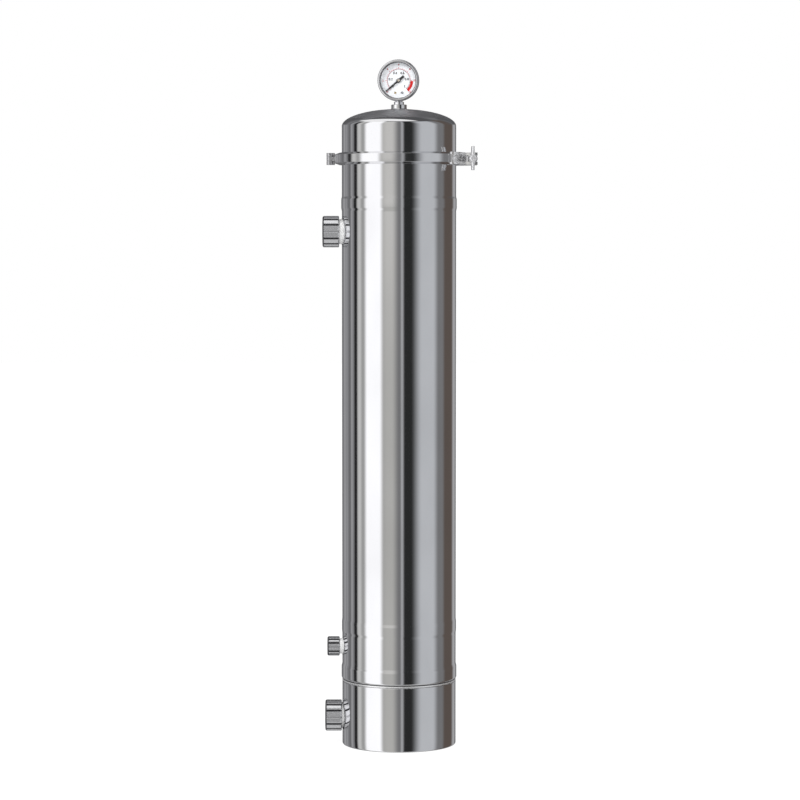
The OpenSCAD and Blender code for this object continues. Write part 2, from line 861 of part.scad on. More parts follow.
module outlet_gasket() {
    gasket(outlet_z, outlet_cap_end_x, main_thread_r, main_bore_r);
}

// The perforated tube round the fibres
module membrane_tube() {
    low_z = lower_potting_z + potting_h - potting_lip;
    top_z = cartridge_top_z - potting_h + potting_lip;
    margin = 50;
    step_z = (top_z - low_z - 2 * margin) / (hole_rings - 1);
    hole_r = 5;
    color(potting) difference() {
        translate([0, 0, low_z]) cylinder(h = top_z - low_z, r = cartridge_r);
        translate([0, 0, low_z - 1]) cylinder(h = top_z, r = cartridge_r - cartridge_wall);
        for (i = [0 : hole_rings - 1], turn = [0 : 60 : 120])
            translate([0, 0, low_z + margin + i * step_z]) rotate([90, 0, turn + 30 * (i % 2)])
                cylinder(h = 2 * cartridge_r + 10, r = hole_r, center = true);
    }
}

// The bundle of hollow fibres, as one body with a lobed outline
module fibre_bundle() {
    lobes = 16;
    lobe_r = 10;
    play = 0.5;
    ring_r = cartridge_r - cartridge_wall - lobe_r - play;
    core_r = ring_r + 4;
    low_z = lower_potting_z + potting_h - potting_lip;
    color("white") translate([0, 0, low_z])
        linear_extrude(cartridge_top_z - potting_h + potting_lip - low_z) {
            circle(r = core_r);
            for (i = [0 : lobes - 1])
                rotate(i * 360 / lobes) translate([ring_r, 0]) circle(r = lobe_r);
        }
}

// A potting cap: the end fitting that the fibres are cast into
module potting_cap(z, lip_side) {
    fit = 0.05;
    lip_z = lip_side > 0 ? z - 1 : z + potting_h - potting_lip;
    difference() {
        translate([0, 0, z]) cylinder(h = potting_h, r = potting_r);
        translate([0, 0, lip_z]) cylinder(h = potting_lip + 1, r = cartridge_r + fit);
    }
}

// The upper potting cap, which closes the tops of the fibres
module upper_potting() {
    color(potting) potting_cap(cartridge_top_z - potting_h, 1);
}

// The lower potting cap, hollow under the fibres, with the outlet spigot
module lower_potting() {
    chamber_r = 44;
    chamber_h = 12;
    chamber_low_z = lower_potting_z + 6;
    groove_h = 3.6;
    color(potting) difference() {
        union() {
            potting_cap(lower_potting_z, -1);
            translate([0, 0, spigot_low_z]) cylinder(h = lower_potting_z - spigot_low_z + 1, r = spigot_r);
        }
        translate([0, 0, spigot_low_z - 1]) cylinder(h = chamber_low_z, r = main_bore_r);
        translate([0, 0, chamber_low_z]) cylinder(h = chamber_h, r = chamber_r);
        for (z = spigot_ring_places()) translate([0, 0, z]) difference() {
            cylinder(h = groove_h, r = spigot_r + 1, center = true);
            cylinder(h = groove_h + 1, r = spigot_r - o_ring_groove, center = true);
        }
    }
}

// Heights of the two sealing rings on the spigot
function spigot_ring_places() = [80, 92];

// The two sealing rings on the spigot
module spigot_o_rings() {
    color(rubber) for (z = spigot_ring_places()) translate([0, 0, z])
        rotate_extrude() translate([socket_bore_r - o_ring_r, 0]) circle(r = o_ring_r);
}

// The flexible ring that centres the top of the cartridge in the tube
module centring_ring() {
    ribs = 6;
    ring_h = 12;
    ring_t = 4;
    rib_w = 8;
    rib_from = potting_r + ring_t / 2;
    rib_to = bore_r - 0.8;
    low_z = cartridge_top_z - 20;
    color(rubber) difference() {
        union() {
            translate([0, 0, low_z]) cylinder(h = ring_h, r = potting_r + ring_t);
            for (i = [0 : ribs - 1])
                rotate([0, 0, i * 360 / ribs])
                    translate([rib_from, -rib_w / 2, low_z]) cube([rib_to - rib_from, rib_w, ring_h]);
        }
        translate([0, 0, low_z - 1]) cylinder(h = ring_h + 2, r = potting_r);
    }
}

// The bow handle that the cartridge is lifted by
module pull_handle() {
    bow_r = 30;
    rod_r = 4;
    foot_r = 8;
    foot_h = 3;
    leg_h = 12;
    color(dark_steel) translate([0, 0, cartridge_top_z]) {
        for (side = [-1, 1]) translate([side * bow_r, 0, 0]) {
            cylinder(h = foot_h, r = foot_r);
            cylinder(h = leg_h, r = rod_r);
        }
        translate([0, 0, leg_h]) rotate([90, 0, 0]) rotate_extrude(angle = 180)
            translate([bow_r, 0]) circle(r = rod_r);
    }
}

base_skirt();
lower_head();
outlet_socket();
outlet_elbow();
outlet_nipple();
body_tube();
inlet_nipple();
drain_nipple();
support_ring();
tube_flange();
lid_seal();
lid_flange();
lid_shell();
gauge_boss();
gauge_stem();
gauge_case();
bourdon_tube();
gauge_movement();
gauge_dial();
dial_screws();
pointer_bush();
gauge_pointer();
gauge_lens();
gauge_bezel();
clamp_rear();
clamp_front();
hinge_pin();
pivot_pin();
swing_bolt();
nut_washer();
wing_nut();
inlet_cap();
inlet_gasket();
drain_cap();
drain_gasket();
outlet_cap();
outlet_gasket();
membrane_tube();
fibre_bundle();
upper_potting();
lower_potting();
spigot_o_rings();
centring_ring();
pull_handle();
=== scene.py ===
# An ultrafiltration water purifier, dressed over its CAD frame: a mirror-polished stainless
# vessel, a V-clamp drawn up by a wing nut, three fluted caps and a small pressure gauge.
import math

import bmesh
import bpy
from mathutils import Matrix, Vector


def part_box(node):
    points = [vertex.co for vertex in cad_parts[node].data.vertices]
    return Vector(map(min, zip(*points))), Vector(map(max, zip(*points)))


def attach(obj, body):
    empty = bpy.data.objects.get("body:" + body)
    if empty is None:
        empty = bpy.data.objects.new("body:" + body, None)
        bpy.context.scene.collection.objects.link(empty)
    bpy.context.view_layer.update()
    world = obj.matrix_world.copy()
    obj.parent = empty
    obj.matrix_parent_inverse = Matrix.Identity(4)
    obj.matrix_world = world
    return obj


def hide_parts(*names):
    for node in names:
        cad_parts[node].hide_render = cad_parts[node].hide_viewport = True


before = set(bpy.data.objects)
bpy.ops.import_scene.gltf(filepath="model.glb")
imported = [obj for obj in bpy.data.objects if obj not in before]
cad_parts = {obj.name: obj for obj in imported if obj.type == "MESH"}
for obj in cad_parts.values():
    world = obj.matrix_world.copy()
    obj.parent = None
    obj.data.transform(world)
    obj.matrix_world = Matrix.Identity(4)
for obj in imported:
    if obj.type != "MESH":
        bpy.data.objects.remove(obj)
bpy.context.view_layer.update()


# The pressure tube
# 1.5 mm stainless sheet, rolled and seam-welded, with three shallow bands swaged outwards in
# the wall. It is polished to a mirror on a lathe, so its fine lines run round it.
wall_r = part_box("base_skirt")[1].x
sheet = 0.0015
bore_r = wall_r - sheet
tube_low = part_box("body_tube")[0].z
tube_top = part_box("body_tube")[1].z
lip_r = 0.0012
foot_roll = 0.0028
swage_length = 0.0224
swage_edge = 0.0060
low_swage, mid_swage, top_swage = 0.0933, 0.1568, 0.7503
low_rise, mid_rise, top_rise = 0.0011, 0.0005, 0.0009
plain_rows = (0.24, 0.40, 0.56)
inlet_z, drain_z, outlet_z = (
    sum(corner.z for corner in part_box(f"{port}_cap")) / 2 for port in ("inlet", "drain", "outlet")
)
main_collar_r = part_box("inlet_nipple")[1].y
drain_collar_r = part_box("drain_nipple")[1].y
wall_steps = 256


class Shade:
    """One output of a material's nodes. Arithmetic on it adds Math nodes, node() adds any other."""

    def __init__(self, tree, socket=None):
        self.tree = tree
        self.socket = socket

    def node(self, kind, settings=None, inputs=None, output=0):
        made = self.tree.nodes.new("ShaderNode" + kind)
        for name, value in (settings or {}).items():
            setattr(made, name, value)
        for name, value in (inputs or {}).items():
            if isinstance(value, Shade):
                self.tree.links.new(value.socket, made.inputs[name])
            else:
                made.inputs[name].default_value = value
        return Shade(self.tree, made.outputs[output])

    def feed(self, shader, name):
        self.tree.links.new(self.socket, shader.inputs[name])

    def maths(self, operation, *others):
        return self.node("Math", {"operation": operation}, dict(enumerate((self, *others))))

    def __add__(self, other):
        return self.maths("ADD", other)

    def __sub__(self, other):
        return self.maths("SUBTRACT", other)

    def __rsub__(self, other):
        return self.node("Math", {"operation": "SUBTRACT"}, {0: other, 1: self})

    def __mul__(self, other):
        return self.maths("MULTIPLY", other)

    __radd__ = __add__
    __rmul__ = __mul__

    def step(self, low, high):
        """0 below low and 1 above high, with a smooth rise between them."""
        limits = {"Value": self, "From Min": low, "From Max": high}
        return self.node("MapRange", {"interpolation_type": "SMOOTHSTEP"}, limits)

    def between(self, low, high):
        """A colour from low, where this value is 0, to high, where it is 1."""
        colours = {0: self, 6: (*low, 1) if isinstance(low, tuple) else low, 7: (*high, 1)}
        return self.node("Mix", {"data_type": "RGBA"}, colours, 2)

    def place(self, stretch=(1, 1, 1)):
        """Object coordinates in metres, stretched along the axes."""
        own = self.node("TexCoord", output="Object")
        return self.node("Mapping", inputs={"Vector": own, "Scale": stretch})

    def noise(self, size, stretch=(1, 1, 1), detail=2.0, roughness=0.5):
        """Noise from 0 to 1, whose lumps are about one size across, in metres."""
        look = {"Scale": 1 / size, "Detail": detail, "Roughness": roughness}
        return self.node("TexNoise", inputs={"Vector": self.place(stretch), **look})

    def relief(self, depth, shader):
        """Presses this height pattern, up to depth metres, into the surface."""
        bump = self.node("Bump", inputs={"Strength": 1.0, "Distance": depth, "Height": self})
        bump.feed(shader, "Normal")


def finish(name, **values):
    """A material with one Principled shader, and the start of its shader maths."""
    material = bpy.data.materials.new(name)
    material.use_nodes = True
    shader = material.node_tree.nodes["Principled BSDF"]
    for socket, value in values.items():
        shader.inputs[socket.replace("_", " ")].default_value = value
    return material, shader, Shade(material.node_tree)


def polished(name, tone, roughness, lines=(1, 1, 60), haze_share=0.35, line_depth=1.2e-6):
    """Steel polished along lines: a haze of polishing wax, faint wear and fine lines in its gloss."""
    material, shader, start = finish(name, Metallic=1.0)
    haze = start.noise(0.07, (1, 1, 0.5), 3.0).step(0.35, 0.75)
    line = start.noise(0.05, lines, 4.0, 0.7)
    wear = start.noise(0.012, detail=5.0, roughness=0.65).step(0.62, 0.8)
    dull = tuple(0.93 * t for t in tone)
    haze.between(tone, dull).feed(shader, "Base Color")
    gloss = roughness * (1 + haze * haze_share + (line - 0.5) * 0.8 + wear * 0.5)
    gloss.feed(shader, "Roughness")
    (line + wear * 0.5).relief(line_depth, shader)
    return material


def lathe(shape, outline, steps, place=None, closed=True):
    """Spins an outline of (radius, height) points round Z into shape, then puts it in its place."""
    before = set(shape.verts)
    ring = [shape.verts.new((radius, 0, height)) for radius, height in outline]
    ends = ring[1:] + ring[:1] if closed else ring[1:]
    edges = [shape.edges.new(pair) for pair in zip(ring, ends)]
    bmesh.ops.spin(
        shape, geom=ring + edges, cent=(0, 0, 0), axis=(0, 0, 1), angle=2 * math.pi, steps=steps,
        use_merge=True,
    )
    made = [v for v in shape.verts if v not in before]
    bmesh.ops.remove_doubles(shape, verts=made, dist=1e-7)
    if place:
        bmesh.ops.transform(shape, matrix=place, verts=[v for v in shape.verts if v not in before])
    return shape


def arc(centre_r, centre_z, radius, start, end, steps=6):
    """Outline points of a rounded corner, between two angles in degrees."""
    angles = [math.radians(start + (end - start) * i / steps) for i in range(steps + 1)]
    return [(centre_r + radius * math.cos(a), centre_z + radius * math.sin(a)) for a in angles]


def piece(name, shape, material, body, stands_for=(), sharp_over=35):
    """Makes a finished shape a piece that rides on a body and may stand for CAD nodes."""
    bmesh.ops.recalc_face_normals(shape, faces=shape.faces)
    mesh = bpy.data.meshes.new(name)
    shape.to_mesh(mesh)
    shape.free()
    mesh.materials.append(material)
    mesh.shade_smooth()
    mesh.set_sharp_from_angle(angle=math.radians(sharp_over))
    made = bpy.data.objects.new(name, mesh)
    bpy.context.scene.collection.objects.link(made)
    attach(made, body)
    if stands_for:
        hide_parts(*stands_for)
    return made


def swage(low, rise, steps=14):
    """A band pressed out of the wall, as (rise, height) points from its foot up."""
    foot = [
        (rise * (1 - math.cos(math.pi * i / steps)) / 2, low + swage_edge * i / steps)
        for i in range(steps + 1)
    ]
    foot = [(0, low - 0.001)] + foot
    return foot + [(out, 2 * low + swage_length - z) for out, z in reversed(foot)]


def port_rows(height, collar_r, spacing=0.002):
    """Rows of points close enough together to cut a round hole for a pipe from the mesh."""
    rows = round((collar_r + 0.003) / spacing)
    return [(0, height + spacing * i) for i in range(-rows, rows + 1)]


def open_port(shape, height, radius):
    """Cuts the round hole for a pipe, through both faces of the sheet, on the -X side."""
    def off_axis(point):
        return math.hypot(point.y, point.z - height)

    gone = [
        face for face in shape.faces
        if face.calc_center_median().x < 0 and off_axis(face.calc_center_median()) < radius
    ]
    bmesh.ops.delete(shape, geom=gone, context="FACES")
    rim = [edge for edge in shape.edges if edge.is_boundary]
    for v in {v for edge in rim for v in edge.verts}:
        around = math.hypot(v.co.x, v.co.y)
        stretch = radius / off_axis(v.co)
        v.co.y *= stretch
        v.co.z = height + (v.co.z - height) * stretch
        v.co.x = -math.sqrt(around ** 2 - v.co.y ** 2)
    bmesh.ops.bridge_loops(shape, edges=rim)


mirror_tone = (0.80, 0.80, 0.81)
mirror_steel = polished("mirror_steel", mirror_tone, 0.055)
wall = swage(low_swage, low_rise) + swage(mid_swage, mid_rise) + swage(top_swage, top_rise)
wall += port_rows(drain_z, drain_collar_r) + port_rows(inlet_z, main_collar_r)
wall += [(0, z) for z in plain_rows]
wall = sorted((row for row in wall if row[1] > tube_low + lip_r), key=lambda row: row[1])
rolled = tube_low + foot_roll
foot_top = low_swage + swage_edge
tube = bmesh.new()
lathe(
    tube,
    arc(wall_r + low_rise - foot_roll, rolled, foot_roll, -75, 0, 8)
    + [(wall_r + (low_rise if z < foot_top else rise), z) for rise, z in wall if z > rolled]
    + [(wall_r, tube_top)]
    + [(bore_r, tube_top)] + [(bore_r + rise, z) for rise, z in reversed(wall)] + [(bore_r, tube_low)],
    wall_steps,
)
open_port(tube, inlet_z, main_collar_r)
open_port(tube, drain_z, drain_collar_r)
piece("tube_wall", tube, mirror_steel, "vessel", ["body_tube"])


# The base skirt
# The vessel stands on a short length of the same tube, rolled in at the foot and at its top
# lip. A seam bead, ground smooth, closes the groove under the tube. The outlet passes through.
skirt_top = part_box("base_skirt")[1].z
foot_r = 0.072
foot_corner = 0.002
skirt = bmesh.new()
skirt_rows = [(0, 0.012)] + port_rows(outlet_z, main_collar_r) + [(0, 0.075), (0, skirt_top - 2 * lip_r)]
lathe(
    skirt,
    [(foot_r, 0)] + arc(wall_r - foot_corner, foot_corner, foot_corner, -90, 0)
    + [(wall_r, z) for _, z in skirt_rows]
    + arc(wall_r - lip_r, skirt_top - lip_r, lip_r, 0, 90)
    + [(bore_r, skirt_top)] + [(bore_r, z) for _, z in reversed(skirt_rows)]
    + arc(bore_r - foot_corner / 2, sheet + foot_corner / 2, foot_corner / 2, 0, -90)
    + [(foot_r, sheet)],
    wall_steps,
)
open_port(skirt, outlet_z, main_collar_r)
piece("skirt_wall", skirt, mirror_steel, "vessel", ["base_skirt"])
seam_steel, seam_shader, seam_start = finish("seam_steel", Metallic=0.8)
scratch = seam_start.noise(0.02, (1, 1, 30), 3.0)
scratch.between((0.95, 0.95, 0.95), (0.88, 0.88, 0.88)).feed(seam_shader, "Base Color")
(0.24 + scratch * 0.1).feed(seam_shader, "Roughness")
scratch.relief(2e-6, seam_shader)
seam_path_r, seam_z, seam_r = 0.0789, skirt_top + 0.0013, 0.0012
seam = lathe(bmesh.new(), arc(seam_path_r, seam_z, seam_r, -180, 150, 11), wall_steps)
piece("skirt_seam_bead", seam, seam_steel, "vessel")


# The lid
# A deep-drawn cap: a straight wall, a rim of small radius and a shallow dome, nearly flat
# round the hole for the gauge's boss. The wall is polished, the crown finely brushed and painted darker
# as shade.
lid_low, lid_top = (corner.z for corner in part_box("lid_shell"))
dome_z = 0.8695
crown_drop = 0.0010
dome_h = lid_top - crown_drop - dome_z
crown_r = 0.018
boss_hole_r = 0.0075


def dome(across, height, low, end_r, steps):
    """A quarter of an ellipse in even turns of its slope, from the rim up to a radius."""
    last = math.acos(end_r / across)
    reach = math.atan2(across * math.sin(last), height * math.cos(last))
    points = []
    for i in range(steps + 1):
        slope = reach * i / steps
        t = math.atan2(height * math.sin(slope), across * math.cos(slope))
        points.append((across * math.cos(t), low + height * math.sin(t)))
    return points


lid_steel, lid_shader, lid_start = finish("lid_steel", Metallic=1.0)
lid_x, lid_y = (
    lid_start.node("SeparateXYZ", inputs={0: lid_start.place()}, output=axis) for axis in "XY"
)
brush_end_r, brush_full_r = 0.0765, 0.070
brushed_and_shaded = (lid_x * lid_x + lid_y * lid_y).maths("SQRT").step(brush_end_r, brush_full_r)
brush = lid_start.noise(0.004, (1, 1, 1), 5.0, 0.7)
lid_lines = lid_start.noise(0.05, (1, 1, 60), 4.0, 0.7)
# Painted shade: the brushed crown is painted darker than the polished wall, in place of the darker
# reflection it shows.
crown_shaded_tone = brushed_and_shaded.between(mirror_tone, (0.50, 0.50, 0.515))
(brush * 0.06).between(crown_shaded_tone, (0, 0, 0)).feed(lid_shader, "Base Color")
(0.06 + (lid_lines - 0.5) * 0.05 + brushed_and_shaded * (0.38 + brush * 0.08)).feed(lid_shader, "Roughness")
(lid_lines + brush * brushed_and_shaded).relief(1.2e-6, lid_shader)
lid = bmesh.new()
lid_rows = (lid_low, lid_low + 0.004, dome_z - 0.004)
lathe(
    lid,
    [(wall_r, z) for z in lid_rows]
    + dome(wall_r, dome_h, dome_z, crown_r, 32) + [(boss_hole_r, dome_z + dome_h + 0.0001)]
    + list(reversed(dome(bore_r, dome_h - sheet, dome_z, boss_hole_r, 16)))
    + [(bore_r, z) for z in reversed(lid_rows)],
    wall_steps,
)
piece("lid_wall", lid, lid_steel, "vessel", ["lid_shell"])


# The clamp flanges
# Two turned rings, welded to the tube and to the lid. Their backs slope, so the band draws
# them together as it closes, and it hides them until the vessel is opened.
joint_z = 0.824
flange_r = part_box("tube_flange")[1].x
hub_r = 0.0816
hub_h = joint_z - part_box("tube_flange")[0].z
flange_edge = 0.0043
back_slope = math.tan(math.radians(20))
broken_edge, hub_chamfer, shelf = 0.0003, 0.0012, 0.003
groove_low_r, groove_high_r, groove_depth = 0.0805, 0.0847, 0.0031
flange_steel = polished("turned_flange_steel", mirror_tone, 0.11, (1, 1, 90))
for flange, side in (("tube_flange", -1), ("lid_flange", 1)):
    section = [(bore_r, 0)]
    if flange == "tube_flange":
        section += [(groove_low_r, 0), (groove_low_r, groove_depth)]
        section += [(groove_high_r, groove_depth), (groove_high_r, 0)]
    section += [
        (flange_r - broken_edge, 0), (flange_r, broken_edge), (flange_r, flange_edge),
        (hub_r, flange_edge + (flange_r - hub_r) * back_slope), (hub_r, hub_h - hub_chamfer),
        (wall_r + 0.0002, hub_h), (wall_r, shelf), (bore_r, shelf),
    ]
    ring = lathe(bmesh.new(), [(radius, joint_z + side * z) for radius, z in section], 192)
    piece(f"{flange}_ring", ring, flange_steel, "vessel", [flange])


# The pipe ends
# Turned male ends for one-inch and half-inch pipe, each with a plain collar that is welded
# into the wall by a bead of filler. The threads show when a cap is screwed off.
cap_gap = 0.0004
# The radius of the bore and of the thread's crest, then the thread's pitch and depth.
pipe_thread = {
    "main": (0.0135, 0.016625, 0.002309, 0.00148),
    "drain": (0.0075, 0.01048, 0.001814, 0.00116),
}
main_root, drain_root, elbow_end = wall_r - 0.006, wall_r - 0.004, 0.0245


def blasted(name, tone, roughness, metal, depth=8e-6, cut_tone=None):
    """Steel blasted with fine glass beads: pale, with a soft sheen and a tiny grain. What is cut
    after the blasting, marked on the mesh, is bright metal."""
    material, shader, start = finish(name, Metallic=metal)
    grain = start.noise(0.0006, detail=4.0, roughness=0.6)
    rub = start.noise(0.008, detail=4.0).step(0.5, 0.8)
    colour = rub.between(tone, tuple(0.88 * t for t in tone))
    if cut_tone:
        cut = start.node("Attribute", {"attribute_name": "cut"}, output="Fac")
        colour = cut.between(colour, cut_tone)
        (metal + cut * (1 - metal)).feed(shader, "Metallic")
    colour.feed(shader, "Base Color")
    (roughness + grain * 0.1 - rub * 0.08).feed(shader, "Roughness")
    grain.relief(depth, shader)
    return material


pipe_steel = blasted("pipe_steel", (0.96, 0.96, 0.96), 0.26, 0.25, cut_tone=(0.56, 0.56, 0.57))


def to_port(height):
    """The place of a shape that is drawn along +Z and points out of a port."""
    return Matrix.Translation((0, 0, height)) @ Matrix.Rotation(math.radians(-90), 4, "Y")


def thread(shape, crest_r, depth, pitch, start, end, place, steps=48):
    """Winds a V-shaped ridge round the local axis between two heights, then puts it in its place."""
    before = set(shape.verts)
    root_r = crest_r - depth - 0.0002
    half, flat = 0.46 * pitch, 0.06 * pitch
    corners = ((root_r, -half), (crest_r, -flat), (crest_r, flat), (root_r, half))
    ring = [shape.verts.new((radius, 0, start + half + z)) for radius, z in corners]
    face = shape.faces.new(ring)
    turn_steps = round((end - start - 2 * half) / pitch * steps)
    bmesh.ops.spin(
        shape, geom=[face, *face.edges, *ring], cent=(0, 0, 0), axis=(0, 0, 1),
        dvec=(0, 0, pitch / steps), angle=2 * math.pi * turn_steps / steps, steps=turn_steps,
    )
    bmesh.ops.transform(shape, matrix=place, verts=[v for v in shape.verts if v not in before])


def pipe_end(port, size, height, low_x, collar_r, pipe_low_x):
    """The collar, the threaded pipe and its bore, as one turned part from pipe_low_x outwards."""
    pipe_bore, crest_r, pitch, depth = pipe_thread[size]
    core_r = crest_r - depth
    mouth = -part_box(f"{port}_nipple")[0].x
    shoulder = -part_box(f"{port}_cap")[1].x - cap_gap
    ease = 0.0006
    outline = [(pipe_bore, pipe_low_x)]
    if pipe_low_x < low_x:
        outline += [(crest_r, pipe_low_x), (crest_r, low_x)]
    outline += [(collar_r, low_x), (collar_r, low_x + 0.001), (collar_r, shoulder - 3 * ease)]
    outline += arc(collar_r - ease, shoulder - ease, ease, 0, 90, 4)
    outline += [(core_r, shoulder), (core_r, mouth - 0.0016), (core_r - 0.0008, mouth - 0.0004)]
    outline += [(core_r - 0.0011, mouth), (pipe_bore + 0.0005, mouth), (pipe_bore, mouth - 0.0005)]
    shape = lathe(bmesh.new(), outline, 128, to_port(height))
    thread(shape, crest_r, depth, pitch, shoulder + 0.0002, mouth - 0.0002, to_port(height))
    cut = shape.verts.layers.float.new("cut")
    for v in shape.verts:
        from_axis = math.hypot(v.co.y, v.co.z - height)
        v[cut] = float(-v.co.x > shoulder - 1e-6 and from_axis < crest_r + 1e-6)
    piece(f"{port}_pipe_end", shape, pipe_steel, "vessel", [f"{port}_nipple"])


weld_steel = blasted("weld_steel", (0.90, 0.90, 0.89), 0.30, 0.45)


def weld_bead(port, height, collar_r, bead_r):
    """A rippled bead of filler that follows the line where a collar meets the wall."""
    ripples, ripple_h = 54, 0.00012
    shape = lathe(bmesh.new(), arc(collar_r, 0, bead_r, 0, 330, 11), 216, to_port(height))
    shape.normal_update()
    for v in shape.verts:
        around = math.atan2(v.co.z - height, v.co.y)
        v.co += v.normal * ripple_h * math.sin(ripples * around)
        v.co.x -= math.sqrt(wall_r ** 2 - v.co.y ** 2)
    piece(f"{port}_weld", shape, weld_steel, "vessel")


pipe_end("inlet", "main", inlet_z, main_root, main_collar_r, main_root)
pipe_end("outlet", "main", outlet_z, main_root, main_collar_r, elbow_end)
pipe_end("drain", "drain", drain_z, drain_root, drain_collar_r, drain_root)
main_bead_r, drain_bead_r = 0.0009, 0.0007
weld_bead("inlet", inlet_z, main_collar_r, main_bead_r)
weld_bead("outlet", outlet_z, main_collar_r, main_bead_r)
weld_bead("drain", drain_z, drain_collar_r, drain_bead_r)


# The caps
# Blind caps turned from bar, with milled grip flutes and chamfered ends. Satin turning marks,
# and painted shade in the flutes and on the end chamfer, set them off from the polished vessel.
cap_steel, cap_shader, cap_start = finish("cap_steel", Metallic=0.85)
turning = cap_start.noise(0.03, (40, 1, 1), 4.0, 0.7)
fine = cap_start.noise(0.0008, detail=3.0)
# Painted shade: a mesh attribute turns the flutes and the end chamfer near black, where the steel falls
# into shade.
painted_shade = cap_start.node("Attribute", {"attribute_name": "painted_shade"}, output="Fac")
painted_shade.between((0.74, 0.745, 0.76), (0.035, 0.035, 0.04)).feed(cap_shader, "Base Color")
(0.17 + turning * 0.08 + painted_shade * 0.25).feed(cap_shader, "Roughness")
(turning + fine * 0.2).relief(1.2e-6, cap_shader)
flutes = 14
flute_r = 0.0015
flute_offset = 0.0005
corner_r = 0.0005
shade_full_depth = 0.0005


def flute_depth(across, outer_r):
    """How deep the cutter goes at a distance from a flute's middle, with its corners broken."""
    floor = outer_r + flute_offset - math.sqrt(max(flute_r ** 2 - across ** 2, 0))
    depth = outer_r - floor if abs(across) < flute_r else -(abs(across) - flute_r)
    return (depth + math.sqrt(depth ** 2 + (corner_r / 2) ** 2)) / 2


def cap(port, size):
    """A cup turned from bar, with flutes milled into its wall."""
    low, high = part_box(f"{port}_cap")
    mouth, end = -high.x, -low.x
    outer_r = (high.z - low.z) / 2
    inner_r = pipe_thread[size][1] + 0.00006
    chamfer, mouth_chamfer, end_wall = 0.0016, 0.0008, 0.0035
    rim = outer_r - mouth_chamfer
    rows = [mouth + mouth_chamfer, mouth + 0.0016, (mouth + end) / 2, end - 0.0026, end - chamfer]
    outline = [(0, end - end_wall), (inner_r, end - end_wall), (inner_r, mouth + 0.001)]
    outline += [(inner_r + 0.0008, mouth), (rim, mouth)] + [(outer_r, x) for x in rows]
    outline += [(outer_r - 0.5 * chamfer, end - 0.5 * chamfer), (outer_r - chamfer, end)]
    outline += [(outer_r * 0.86, end), (outer_r * 0.3, end), (0, end)]
    shape = lathe(bmesh.new(), outline, flutes * 32, closed=False)
    # This attribute holds the painted shade, from 0 on the ribs to 1 at the bottom of a flute.
    painted_shade_layer = shape.verts.layers.float.new("painted_shade")
    for v in shape.verts:
        radius = v.co.to_2d().length
        if radius < inner_r + 0.001:
            continue
        turn = math.atan2(v.co.y, v.co.x) * flutes / (2 * math.pi) - 0.5
        across = (turn - round(turn)) * 2 * math.pi / flutes * radius
        pressed = outer_r - flute_depth(across, outer_r)
        if radius > pressed:
            # The flute at the front gets less painted shade than the others: painted light, as if it
            # faced the lit front.
            shade_share = 0.3 if math.hypot(v.co.x, v.co.y + outer_r) < 2 * flute_r else 1
            v.co.xy *= pressed / radius
            v[painted_shade_layer] = shade_share * min(1, (outer_r - pressed) / shade_full_depth)
        # Painted shade: the end chamfer is painted near black, standing in for the dark outline it
        # reflects.
        if v.co.z > end - chamfer - 1e-6 and radius > outer_r - chamfer - 1e-5:
            v[painted_shade_layer] = 0.9
    bmesh.ops.transform(shape, matrix=to_port((low.z + high.z) / 2), verts=shape.verts)
    piece(f"{port}_cap_body", shape, cap_steel, f"{port}_cap", [f"{port}_cap"], 40)


cap("inlet", "main")
cap("outlet", "main")
cap("drain", "drain")


# The V-clamp
# Two pressed halves of a stainless band, hinged at the left. The front one carries a forked
# lug, the rear one the swing bolt's clevis. Band and lugs are polished, the hinge stays dull.
clamp_steel, clamp_shader, clamp_start = finish("clamp_steel")
clamp_x = clamp_start.node("SeparateXYZ", inputs={0: clamp_start.place()}, output="X")
lug_x, hinge_x = 0.0715, -0.0895
lug, hinge = clamp_x.step(lug_x, lug_x + 0.0007), clamp_x.step(hinge_x, hinge_x - 0.001)
buff = clamp_start.noise(0.03, (1, 1, 40), 4.0, 0.7)
grain = clamp_start.noise(0.0006, detail=4.0, roughness=0.6)
band_tone = hinge.between((0.79, 0.79, 0.80), (0.50, 0.50, 0.51))
lug.between(band_tone, (0.93, 0.93, 0.93)).feed(clamp_shader, "Base Color")
(1 - lug * 0.12 - hinge * 0.2).feed(clamp_shader, "Metallic")
(0.07 + buff * 0.06 + lug * 0.08 + hinge * (0.12 + grain * 0.08)).feed(clamp_shader, "Roughness")
(buff * 0.15 + grain * (lug * 0.15 + hinge)).relief(6e-6, clamp_shader)


def eased_copy(node, edge_r, over=30, segments=2):
    """A copy of a CAD node with its flat faces joined up and its edges rounded off."""
    shape = bmesh.new()
    shape.from_mesh(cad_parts[node].data)
    bmesh.ops.remove_doubles(shape, verts=shape.verts, dist=2e-6)
    flat_angle = math.radians(0.3)
    bmesh.ops.dissolve_limit(shape, angle_limit=flat_angle, verts=shape.verts, edges=shape.edges)
    edges = [e for e in shape.edges if e.is_manifold and e.calc_face_angle() > math.radians(over)]
    bmesh.ops.bevel(
        shape, geom=edges, offset=edge_r, segments=segments, affect="EDGES", profile=0.5, material=-1,
        clamp_overlap=True,
    )
    return shape


def eased_piece(name, node, edge_r, material, body):
    """A dressed CAD part, whose flat faces keep their own shading up to the rounded edges."""
    made = piece(name, eased_copy(node, edge_r), material, body, [node], 50)
    shading = made.modifiers.new("shading", "WEIGHTED_NORMAL")
    shading.keep_sharp = True
    return made


eased_piece("clamp_front_half", "clamp_front", 0.0004, clamp_steel, "clamp_front")
eased_piece("clamp_rear_half", "clamp_rear", 0.0004, clamp_steel, "vessel")
pin_steel = polished("pin_steel", (0.66, 0.66, 0.68), 0.2, (1, 1, 30))
eased_piece("hinge_pin_riveted", "hinge_pin", 0.0004, pin_steel, "vessel")
eased_piece("pivot_pin_riveted", "pivot_pin", 0.0004, pin_steel, "vessel")


